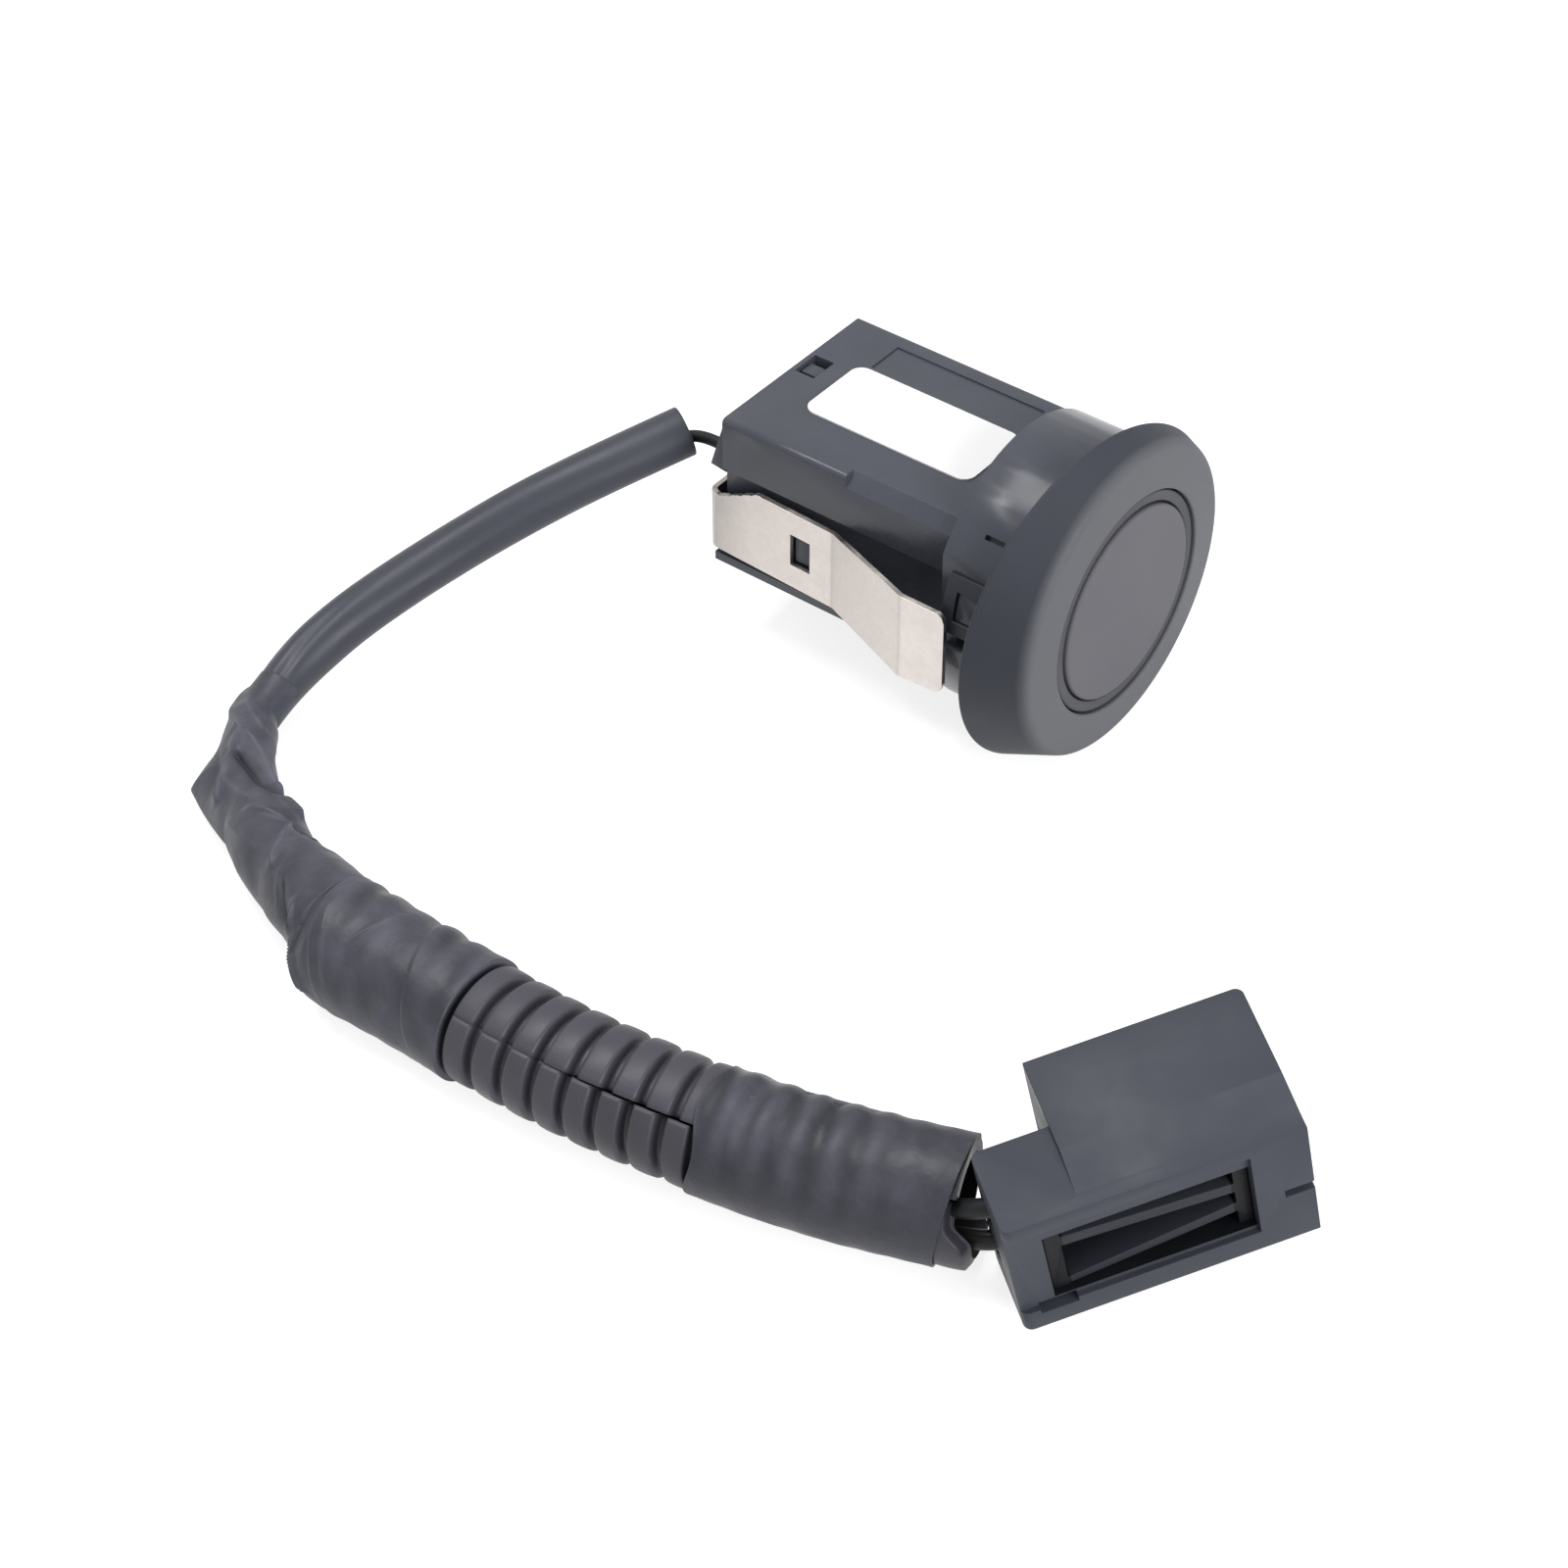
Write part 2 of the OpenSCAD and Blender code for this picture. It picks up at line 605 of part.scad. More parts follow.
module transformer() color("#55565a") translate([-barrel_len - transformer_x, 0, board_z]) {
    core = transformer_w * 0.9;
    translate([-transformer_w / 2, -transformer_w / 2, 0]) cube([transformer_w, transformer_w, 1]);
    translate([0, 0, 0.5]) cylinder(d = core, h = transformer_h - 1);
    translate([-transformer_w / 2, -transformer_w / 2, transformer_h - 1])
        cube([transformer_w, transformer_w, 1]);
}

module control_chip() color("#26272a")
    translate([-barrel_len - chip_x - chip_w / 2, -chip_w / 2, board_z]) cube([chip_w, chip_w, chip_h]);

module capacitors() color("#b59a6a")
    both_sides() translate([-barrel_len - capacitor_x, capacitor_y, board_z])
        cube([capacitor_len, capacitor_w, capacitor_w]);

// Edges of the clip's strip
clip_low = clip_z - clip_w / 2;
clip_high = clip_z + clip_w / 2;

// Outline of the clip's strip seen from above, as its outer face
clip_outer = [[-bumper_t, -clip_front_y], [-fold_b, -clip_front_y], [-fold_a, -clip_mid_y],
    [clip_back, -clip_rear_y], [clip_back, clip_rear_y], [-fold_a, clip_mid_y],
    [-fold_b, clip_front_y], [-bumper_t, clip_front_y]];

// Point of the inner face: the outer point moved in by the strip's thickness at a mitre
function inner_side(d) = [d[1], -d[0]];
function mitred(p, i, t) = let (a = i > 0 ? unit(p[i] - p[i - 1]) : unit(p[1] - p[0]),
        b = i < last(p) ? unit(p[i + 1] - p[i]) : a, m = unit(inner_side(a) + inner_side(b)))
    p[i] + m * t / (m * inner_side(a));
clip_inner = [for (i = [last(clip_outer):-1:0]) mitred(clip_outer, i, clip_t)];

module spring_clip() color("#b9b5b0") difference() {
    intersection() {
        translate([0, 0, clip_z - clip_w]) linear_extrude(2 * clip_w) polygon(concat(clip_outer, clip_inner));
        rotate([90, 0, 0]) linear_extrude(4 * clip_front_y, center = true)
            polygon([[clip_back - 1, clip_low], [-fold_a, clip_low], [-fold_b, clip_low - clip_belly],
                [-bumper_t - clip_corner, clip_low - clip_belly / 2], [-bumper_t, clip_low + clip_corner],
                [-bumper_t, clip_high - clip_corner], [-bumper_t - clip_corner, clip_high],
                [rear_x + clip_slope, clip_high], [rear_x, clip_high - clip_drop],
                [clip_back - 1, clip_high - clip_drop]]);
    }
    translate([-clip_window_x - clip_window_len / 2, -clip_front_y, clip_z - clip_window_h / 2])
        cube([clip_window_len, 2 * clip_front_y, clip_window_h]);
}

module label() color("white") translate([-label_front - label_len / 2, label_y, top_z])
    linear_extrude(label_t) round_rect(label_len, label_w, label_r);

module cable_grommet() color("#2a2b2d") translate([0, cable_y, cable_z]) difference() {
    union() {
        rod(grommet_d, rear_x, cover_x);
        rod(grommet_d + 0.3, rear_x - grommet_flange, rear_x);
    }
    rod(wire_d, rear_x - grommet_flange - 1, cover_x + 1);
}

module lead_wire() color("#2a2b2d")
    tube(wire_route, [for (i = [0:last(wire_route)]) i], [for (p = wire_route) wire_d / 2], 8);

module sleeve() color("#34363a")
    tube(sleeve_route, [for (i = [0:last(sleeve_route)]) i], [for (g = sleeve_girth) g * sleeve_d / 2], 8);

// Tape over the joint of sleeve and conduit, with the loose corner of its last turn
module junction_tape() color("#3a3c41") {
    tube(junction_route, [for (i = [0:last(junction_route)]) i], junction_r, 12);
    translate([0, 0, tape_corner_z]) linear_extrude(tape_corner_t) polygon(tape_corner);
}

// Corrugated conduit: plain under the tape, ribbed where it is bare
module conduit() color("#2e3034") {
    crest = conduit_d / 2;
    root = crest - rib_depth;
    pitch = (bare_end - bare_start) / ribs;
    bare = [for (i = [0:ribs - 1]) each [for (f = [0.2, 0.45, 0.95]) bare_start + (i + f) * pitch]];
    bare_r = [for (i = [0:ribs - 1]) each [root, crest, crest]];
    rear = [for (i = [0:bare_start]) i];
    front = [for (i = [bare_end:last(conduit_route)]) i];
    stations = concat(rear, bare, front);
    outer = concat([for (i = rear) crest], bare_r, [for (i = front) crest]);
    pipe(conduit_route, stations, outer, [for (s = stations) conduit_bore / 2], 12);
}

// Tape wound on the conduit between two places of its route
module wrap(from, to, thick) {
    stations = [for (i = [from:to]) i];
    pipe(conduit_route, stations, [for (s = stations) conduit_d / 2 + thick],
        [for (s = stations) conduit_d / 2], 12);
}

module conduit_tape_rear() color("#3a3c41") wrap(0, bare_start, rear_tape_t);

module conduit_tape_front() color("#34363b") wrap(bare_end, last(conduit_route), front_tape_t);

// Place of a point of the plug, given along its length, depth and height
function turn_x(p, a) = [p[0], p[1] * cos(a) - p[2] * sin(a), p[1] * sin(a) + p[2] * cos(a)];
function turn_y(p, a) = [p[0] * cos(a) + p[2] * sin(a), p[1], p[2] * cos(a) - p[0] * sin(a)];
function turn_z(p, a) = [p[0] * cos(a) - p[1] * sin(a), p[0] * sin(a) + p[1] * cos(a), p[2]];
function in_plug(p) = plug_place + turn_z(turn_y(turn_x(p, plug_turn[0]), plug_turn[1]), plug_turn[2]);
module at_plug() translate(plug_place) rotate(plug_turn) children();

// Wires that lie along the bottom of the conduit and run into the plug's cavities
module plug_wires() color("#26302b") for (i = [0, 1]) {
    side = [0.85, -0.85][i];
    rise = [-2.2, -0.6][i];
    first = beside(conduit_route, 0, side, rise);
    inside = concat([first, first + 2 * heading(conduit_route, 0)],
        [for (s = [3, 6, 9]) beside(conduit_route, s, side, rise)]);
    entry = [for (x = [-1.2, 0.4, terminal_x]) in_plug([x, cavity_y, cavity_heights[i]])];
    route = concat(inside, entry);
    tube(route, [for (k = [0:last(route)]) k], [for (p = route) plug_wire_d / 2], 8);
}

// Plan of the plug: the front part reaches to the wire end, the back part is stepped
module plug_plan() {
    translate([nose_r, 0]) square([plug_len - nose_r, nose_w - nose_r]);
    translate([0, nose_r]) square([plug_len, nose_w - 2 * nose_r]);
    for (y = [nose_r, nose_w - nose_r]) translate([nose_r, y]) circle(nose_r);
    translate([nose_r, 0]) square([step_len, nose_w]);
    back_plan();
}

module back_plan() {
    translate([step_len, nose_w - plate_lap])
        square([plug_len - step_len, plug_w - nose_w + plate_lap - plate_r]);
    translate([step_len, nose_w]) square([plug_len - step_len - plate_r, plug_w - nose_w]);
    translate([plug_len - plate_r, plug_w - plate_r]) circle(plate_r);
}

module plug_housing() color("#323438") at_plug() difference() {
    union() {
        linear_extrude(base_h) plug_plan();
        linear_extrude(plug_h) back_plan();
    }
    translate([-1, -1, flange_h]) cube([plug_len - cheek_len + 1, 1 + lip_reach, base_h - flange_h - lip_h]);
    translate([side_window_x, -1, side_window_z])
        cube([side_window_len, 1 + side_window_in, side_window_h]);
    translate([slot_x, -1, flange_h - slot_h]) cube([slot_len, 1 + 2 * lip_reach, slot_h + 0.1]);
    translate([plug_len - notch_len, -1, 0.43 * plug_h - notch_w / 2]) cube([notch_len + 1, notch_in + 1, notch_w]);
    for (z = cavity_heights) translate([-1, cavity_y - cavity_w / 2, z - cavity_w / 2])
        cube([plug_len + 2, cavity_w, cavity_w]);
}

// Terminal retainer in the side window: a post with two bars that meet at their far end
module plug_retainer() color("#2c2e32") at_plug() {
    long = side_window_len - 2 * fit_gap;
    high = side_window_h - 2 * fit_gap;
    translate([side_window_x + fit_gap, side_window_in, side_window_z + fit_gap]) rotate([90, 0, 0])
        linear_extrude(side_window_in - 0.9) {
            polygon([[0, 0], [1, 0], [1, high], [0, high]]);
            polygon([[0, high - 0.9], [0, high - 1.8], [long, high * 0.55], [long, high * 0.7]]);
            polygon([[0, 0.6], [0, 0], [long, high * 0.25], [long, high * 0.4]]);
            polygon([[long - 0.9, 0], [long, 0], [long, high], [long - 0.9, high]]);
        }
}

module terminals() color("#c8a25a") at_plug() for (z = cavity_heights)
    translate([terminal_x, cavity_y - terminal_w / 2, z - terminal_w / 2])
        cube([terminal_len, terminal_w, terminal_w]);

bezel_ring();
isolator_ring();
transducer_cup();
piezo_disc();
damping_pad();
transducer_leads();
sensor_housing();
rear_cover();
circuit_board();
transformer();
control_chip();
capacitors();
spring_clip();
label();
cable_grommet();
lead_wire();
sleeve();
junction_tape();
conduit();
conduit_tape_rear();
conduit_tape_front();
plug_wires();
plug_housing();
plug_retainer();
terminals();
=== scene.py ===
"""Looks of an ultrasonic parking sensor: bezel, body, spring clip, taped harness and plug.

Lengths are millimetres in the part's own frame and become metres when a mesh is made.
+X points out of the bumper along the sensing axis, +Z is up, the floor lies under the harness.
"""
import math

import bmesh
import bpy
import numpy as np
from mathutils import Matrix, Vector


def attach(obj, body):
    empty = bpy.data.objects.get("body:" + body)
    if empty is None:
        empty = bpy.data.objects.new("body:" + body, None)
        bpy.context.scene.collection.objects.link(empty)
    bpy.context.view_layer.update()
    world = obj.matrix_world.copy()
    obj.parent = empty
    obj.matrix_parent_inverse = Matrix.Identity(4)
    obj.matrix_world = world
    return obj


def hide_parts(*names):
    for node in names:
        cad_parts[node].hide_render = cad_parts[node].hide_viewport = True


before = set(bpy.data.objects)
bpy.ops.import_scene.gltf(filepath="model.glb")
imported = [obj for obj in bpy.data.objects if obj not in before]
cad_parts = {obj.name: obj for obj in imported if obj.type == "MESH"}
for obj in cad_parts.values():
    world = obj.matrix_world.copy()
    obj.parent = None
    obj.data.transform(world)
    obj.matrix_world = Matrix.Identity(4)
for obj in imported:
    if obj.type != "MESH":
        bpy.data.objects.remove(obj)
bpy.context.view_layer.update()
scene = bpy.context.scene

MM = 0.001
UP = np.array([0.0, 0.0, 1.0])
FLOOR_Z = -12.0
EDGE_ANGLE = math.radians(35)
MERGE_WITHIN = 0.002
FLAT_WITHIN = math.radians(0.6)
# half the angle of a corner that counts as straight
STRAIGHT = 1.56
# waves: paces along the length, turns round the angle, weakening from wave to wave, scale of the sum
WAVE_PACES = (0.3, 1.6)
WAVE_TURNS = (1, 5)
WAVE_FADE = 0.3
WAVE_SUM = 2.2

# The routes of the harness, as the part's source has them
LEAD_ROUTE = [(-20.4, -4.2, -0.4), (-21.2, -4.2, 0.6), (-22, -4.2, 1.35), (-26.8, -4.2, 1.35),
              (-28.4, -4.3, 1.4), (-30.0, -4.6, 1.35), (-32.0, -6.9, 0.7)]
SLEEVE_ROUTE = [(-30.6, -5, 1.8), (-33.7, -10.2, 0.2), (-36.9, -15.3, -1.8), (-39.5, -19.6, -3.8),
                (-41.7, -24.2, -5.7), (-43.3, -28.6, -7.4), (-44, -33.2, -9), (-43.3, -38, -10)]
JUNCTION_ROUTE = [(-40.7, -41.9, -9.8), (-38.2, -44, -9.7), (-35.9, -45.7, -9.5), (-33, -47.5, -9.1),
                  (-30.1, -49, -8.8), (-27.2, -50.4, -8.3)]
CONDUIT_ROUTE = [(-21.9, -52.8, -7.6), (-18, -52.9, -7.6), (-14, -52.9, -7.6), (-9.1, -52.9, -7.6),
                 (-2.7, -52.7, -7.6), (3.6, -52, -7.6), (9.4, -51, -7.6), (14.8, -49.8, -7.6),
                 (19.8, -48.2, -7.6), (24.7, -46.4, -7.6)]


# Routes and surfaces

def unit(v):
    """Vectors of length one, along the last axis."""
    return v / np.linalg.norm(v, axis=-1, keepdims=True)


def smooth_route(points, spacing=0.1):
    """Natural cubic spline through the points over their chord length, read off at an even spacing."""
    p = np.asarray(points, float)
    t = np.concatenate([[0], np.cumsum(np.linalg.norm(np.diff(p, axis=0), axis=1))])
    h = np.diff(t)
    n = len(p)
    system = np.eye(n)
    inner = np.arange(1, n - 1)
    system[inner, inner - 1] = h[:-1]
    system[inner, inner] = 2 * (h[:-1] + h[1:])
    system[inner, inner + 1] = h[1:]
    slope = np.diff(p, axis=0) / h[:, None]
    right = np.zeros_like(p)
    right[1:-1] = 6 * np.diff(slope, axis=0)
    bend = np.linalg.solve(system, right)
    fine = np.linspace(0, t[-1], int(t[-1] / spacing) * 4)
    i = np.clip(np.searchsorted(t, fine, side="right") - 1, 0, n - 2)
    a, b, w = (t[i + 1] - fine)[:, None], (fine - t[i])[:, None], h[i][:, None]
    curve = (bend[i] * a**3 + bend[i + 1] * b**3) / (6 * w)
    curve += (p[i] / w - bend[i] * w / 6) * a + (p[i + 1] / w - bend[i + 1] * w / 6) * b
    reach = np.concatenate([[0], np.cumsum(np.linalg.norm(np.diff(curve, axis=0), axis=1))])
    even = np.linspace(0, reach[-1], int(reach[-1] / spacing) + 1)
    return np.stack([np.interp(even, reach, curve[:, k]) for k in range(3)], axis=1), even


class Route:
    """A smooth line with its length, and a sideways and an upward direction at every place of it."""

    def __init__(self, points):
        self.line, self.s = smooth_route(points)
        self.length = self.s[-1]
        heading = unit(np.gradient(self.line, axis=0))
        self.heading = heading
        self.side = unit(np.cross(heading, UP))
        self.up = np.cross(self.side, heading)

    def at(self, s, field="line"):
        """The line, or one of its directions, at the lengths s."""
        values = getattr(self, field)
        return np.stack([np.interp(s, self.s, values[:, k]) for k in range(3)], axis=-1)

    def around(self, s, radius, angle):
        """Points at a radius from the line: line + radius * (cos angle * side + sin angle * up)."""
        turn = np.cos(angle)[..., None] * self.at(s, "side") + np.sin(angle)[..., None] * self.at(s, "up")
        return self.at(s) + radius[..., None] * turn

    def path(self):
        """Points of the line half a millimetre apart, to its very end, in metres."""
        return (np.concatenate([self.line[:-1:5], self.line[-1:]]) * MM).tolist()

    def nearest(self, point):
        """Length along the line at which it passes a point most closely."""
        return self.s[np.argmin(np.linalg.norm(self.line - np.asarray(point), axis=1))]


def ring_angles(sides):
    """Even angles round a ring, as one row."""
    return np.linspace(0, 2 * math.pi, sides, endpoint=False)[None, :]


def soft_step(x, low, high):
    """Rises smoothly from 0 at low to 1 at high."""
    t = np.clip((x - low) / (high - low), 0, 1)
    return t * t * (3 - 2 * t)


def waves(s, a, seed, rough=1.0, count=7):
    """Sum of sine waves along s and round the angle a, with seeded directions, from about -1 to 1."""
    rng = np.random.default_rng(seed)
    total = np.zeros(np.broadcast(s, a).shape)
    for k in range(count):
        along = rng.uniform(*WAVE_PACES) * rough
        turns = rng.integers(*WAVE_TURNS)
        start = rng.uniform(0, 2 * math.pi)
        total = total + np.sin(along * s + turns * a + start) / (1 + WAVE_FADE * k)
    return total / WAVE_SUM


def surface(name, grids, material):
    """Smooth mesh from grids of points, each rows x columns, with its seams closed where asked.

    A grid is a dict: points (mm), wrap_rows, wrap_columns, cap_start, cap_end (a fan to the ring's middle)
    and keep (faces that stay). The map "lay" gives the place along the rows and round the columns, in metres.
    """
    verts, faces, maps, base = [], [], [], 0
    for g in grids:
        p = np.asarray(g["points"], float)
        n, m = p.shape[:2]
        rows = n if g.get("wrap_rows") else n - 1
        columns = m if g.get("wrap_columns") else m - 1
        i, k = np.meshgrid(np.arange(rows), np.arange(columns), indexing="ij")
        i2, k2 = (i + 1) % n, (k + 1) % m
        quads = base + np.stack([i * m + k, i2 * m + k, i2 * m + k2, i * m + k2], axis=-1).reshape(-1, 4)
        down = np.concatenate([[0], np.cumsum(np.linalg.norm(np.diff(p[:, 0], axis=0), axis=1))])
        down = np.append(down, down[-1] + np.linalg.norm(p[0, 0] - p[-1, 0]))
        across = np.concatenate([[0], np.cumsum(np.linalg.norm(np.diff(p[0], axis=0), axis=1))])
        across = np.append(across, across[-1] + np.linalg.norm(p[0, 0] - p[0, -1]))
        lay = np.stack([np.stack([down[i + di], across[k + dk]], axis=-1)
                        for di, dk in ((0, 0), (1, 0), (1, 1), (0, 1))], axis=2).reshape(-1, 4, 2)
        if g.get("keep") is not None:
            stays = np.asarray(g["keep"]).reshape(-1)
            quads, lay = quads[stays], lay[stays]
        verts.append(p.reshape(-1, 3))
        faces += [list(q) for q in quads.tolist()]
        maps.append(lay.reshape(-1, 2))
        first, base = base, base + n * m
        for end, row in (("cap_start", 0), ("cap_end", n - 1)):
            if not g.get(end):
                continue
            ring = first + row * m + np.arange(m)
            verts.append(p[row].mean(0)[None])
            pair = np.stack([ring, np.roll(ring, -1)], axis=1)
            pair = pair if end == "cap_start" else pair[:, ::-1]
            fan = np.column_stack([np.full(m, base), pair])
            faces += [list(t) for t in fan.tolist()]
            maps.append(np.zeros((3 * m, 2)))
            base += 1
    mesh = bpy.data.meshes.new(name)
    mesh.from_pydata((np.concatenate(verts) * MM).tolist(), [], faces)
    lay_map = mesh.uv_layers.new(name="lay")
    lay_map.data.foreach_set("uv", (np.concatenate(maps) * MM).astype(np.float32).ravel())
    mesh.polygons.foreach_set("use_smooth", np.full(len(mesh.polygons), True))
    mesh.materials.append(material)
    obj = bpy.data.objects.new(name, mesh)
    scene.collection.objects.link(obj)
    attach(obj, "root")
    return obj


def rounded(corners, steps=5, hold=0.0):
    """Closed outline with each corner (a, b, radius) replaced by an arc that touches both of its sides.

    With hold, a point is added at that distance before and after each arc, so that flat sides shade flat.
    """
    c = np.asarray(corners, float)
    points = []
    for i in range(len(c)):
        here, before, after, r = c[i, :2], c[i - 1, :2], c[(i + 1) % len(c), :2], c[i, 2]
        to, on = unit(before - here), unit(after - here)
        half = math.acos(np.clip(to @ on, -1, 1)) / 2
        if r <= 0 or half > STRAIGHT:
            points.append(here[None])
            continue
        reach = r / math.tan(half)
        middle = here + unit(to + on) * r / math.sin(half)
        first, final = here + to * reach - middle, here + on * reach - middle
        turn = np.linspace(0, 1, steps)[:, None]
        span = math.pi - 2 * half
        if hold:
            points.append((here + to * (reach + hold))[None])
        arc = (np.sin((1 - turn) * span) * first + np.sin(turn * span) * final) / math.sin(span)
        points.append(middle + arc)
        if hold:
            points.append((here + on * (reach + hold))[None])
    return np.concatenate(points)


def turned(profile, sides=144):
    """Profile (x, radius), one for all angles or one for each, carried round the sensing axis.

    A point of it lies at (x, radius * sin a, radius * cos a).
    """
    a = ring_angles(sides).T
    x, r = profile[..., 0], profile[..., 1]
    return np.stack([x + 0 * a, r * np.sin(a), r * np.cos(a)], axis=-1)


def tube(points):
    """Grid of rings, closed at both ends."""
    return [{"points": points, "wrap_columns": True, "cap_start": True, "cap_end": True}]


def closed_loop(points):
    """Grid of rings, the last of which joins the first."""
    return [{"points": points, "wrap_rows": True, "wrap_columns": True}]


def finish_edges(obj, width, segments=3):
    """Soft edges of a moulded or cut piece, wherever it bends by more than EDGE_ANGLE."""
    bevel = obj.modifiers.new("soft edges", "BEVEL")
    bevel.width = width * MM
    bevel.segments = segments
    bevel.limit_method = "ANGLE"
    bevel.angle_limit = EDGE_ANGLE
    bevel.harden_normals = True


def give_thickness(obj, thickness):
    """Makes a wall of a sheet, inwards from its faces."""
    wall = obj.modifiers.new("thickness", "SOLIDIFY")
    wall.thickness = thickness * MM
    wall.offset = -1


def set_tone(obj, values, domain="POINT"):
    """Gives each point or face of a piece a factor for its colour: painted light and shade, and on the tapes
    clouds too.
    """
    tone = obj.data.attributes.new("tone", "FLOAT", domain)
    tone.data.foreach_set("value", np.ascontiguousarray(values, np.float32).ravel())


def points_of(obj):
    """The piece's points, in millimetres."""
    flat = np.empty(3 * len(obj.data.vertices))
    obj.data.vertices.foreach_get("co", flat)
    return flat.reshape(-1, 3) / MM


def middles_of(obj):
    """Middles of the piece's faces, in millimetres."""
    return np.array([face.center for face in obj.data.polygons]) / MM


def moulded(node, material, edge):
    """A moulded piece: a copy of the node's own solid, its flat faces made whole, with soft edges."""
    work = bmesh.new()
    work.from_mesh(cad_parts[node].data)
    bmesh.ops.remove_doubles(work, verts=work.verts, dist=MERGE_WITHIN * MM)
    bmesh.ops.dissolve_limit(work, angle_limit=FLAT_WITHIN, verts=work.verts, edges=work.edges)
    for face in work.faces:
        face.smooth = True
    mesh = bpy.data.meshes.new(node + "_shape")
    work.to_mesh(mesh)
    work.free()
    mesh.materials.append(material)
    obj = bpy.data.objects.new(node + "_moulded", mesh)
    scene.collection.objects.link(obj)
    finish_edges(obj, edge)
    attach(obj, "root")
    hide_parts(node)
    return obj


# Finishes
# sockets of a Mix node that mixes colours
COLOUR_A, COLOUR_B, COLOUR_OUT = 6, 7, 2
# parts of a noise factor that become clouds, specks and scuffs
CLOUD_RANGE = (0.3, 0.7)
SPECK_RANGE = (0.35, 0.65)
SCUFF_RANGE = (0.66, 0.74)
SPECK_SHARE = 0.25
SPECK_DEPTH = 1.5
# where the bezel's side colour gives way to that of its face
FACE_FROM = 3.7
FACE_TO = 4.5


def shade_group(name, inputs, outputs):
    """New node group with named sockets, its input and its output node."""
    group = bpy.data.node_groups.new(name, "ShaderNodeTree")
    for socket, kind, value in inputs:
        made = group.interface.new_socket(name=socket, in_out="INPUT", socket_type=kind)
        made.default_value = value
    for socket, kind in outputs:
        group.interface.new_socket(name=socket, in_out="OUTPUT", socket_type=kind)
    return group, group.nodes.new("NodeGroupInput"), group.nodes.new("NodeGroupOutput")


def feed(tree, value, socket):
    """Gives an input socket a value, or links another socket to it."""
    if isinstance(value, bpy.types.NodeSocket):
        tree.links.new(socket, value)
    else:
        socket.default_value = value


def maths(tree, operation, a, b):
    """Math node whose two inputs are numbers or sockets."""
    node = tree.nodes.new("ShaderNodeMath")
    node.operation = operation
    feed(tree, a, node.inputs[0])
    feed(tree, b, node.inputs[1])
    return node.outputs[0]


def noise(tree, vector, scale, detail, roughness):
    """Noise factor from 0 to 1 over a vector."""
    node = tree.nodes.new("ShaderNodeTexNoise")
    for socket, value in (("Vector", vector), ("Scale", scale), ("Detail", detail), ("Roughness", roughness)):
        feed(tree, value, node.inputs[socket])
    return node.outputs["Fac"]


def spread(tree, value, low, high, to_low=0.0, to_high=1.0):
    """Value mapped from one range to another and kept inside it."""
    node = tree.nodes.new("ShaderNodeMapRange")
    node.clamp = True
    for socket, number in zip(list(node.inputs)[1:5], (low, high, to_low, to_high)):
        socket.default_value = number
    feed(tree, value, node.inputs[0])
    return node.outputs[0]


def blend_colour(tree, factor, a, b):
    """Mixes two colours, given as values or sockets, by a factor."""
    node = tree.nodes.new("ShaderNodeMix")
    node.data_type = "RGBA"
    feed(tree, factor, node.inputs["Factor"])
    feed(tree, a, node.inputs[COLOUR_A])
    feed(tree, b, node.inputs[COLOUR_B])
    return node.outputs[COLOUR_OUT]


def grain_group():
    """Moulded surface: fine grain, broad cloudiness and sparse scuffs from noise on a vector."""
    group, given, made = shade_group(
        "moulded grain",
        [("Vector", "NodeSocketVector", (0, 0, 0)), ("Grain scale", "NodeSocketFloat", 5000.0),
         ("Cloud scale", "NodeSocketFloat", 160.0), ("Scuff scale", "NodeSocketFloat", 700.0)],
        [("Grain", "NodeSocketFloat"), ("Cloud", "NodeSocketFloat"), ("Scuff", "NodeSocketFloat")])
    for name, detail, roughness in (("Grain", 2.0, 0.6), ("Cloud", 4.0, 0.55), ("Scuff", 5.0, 0.7)):
        value = noise(group, given.outputs["Vector"], given.outputs[name + " scale"], detail, roughness)
        value = spread(group, value, *SCUFF_RANGE) if name == "Scuff" else value
        feed(group, value, made.inputs[name])
    return group


GRAIN = grain_group()


def srgb(r, g, b):
    """Linear colour of an 8-bit display colour."""
    c = np.array([r, g, b]) / 255
    return (*np.where(c <= 0.04045, c / 12.92, ((c + 0.055) / 1.055) ** 2.4).tolist(), 1.0)


def scaled(colour, k):
    """A colour made k times as bright, within 1."""
    return (*[min(1.0, v * k) for v in colour[:3]], 1.0)


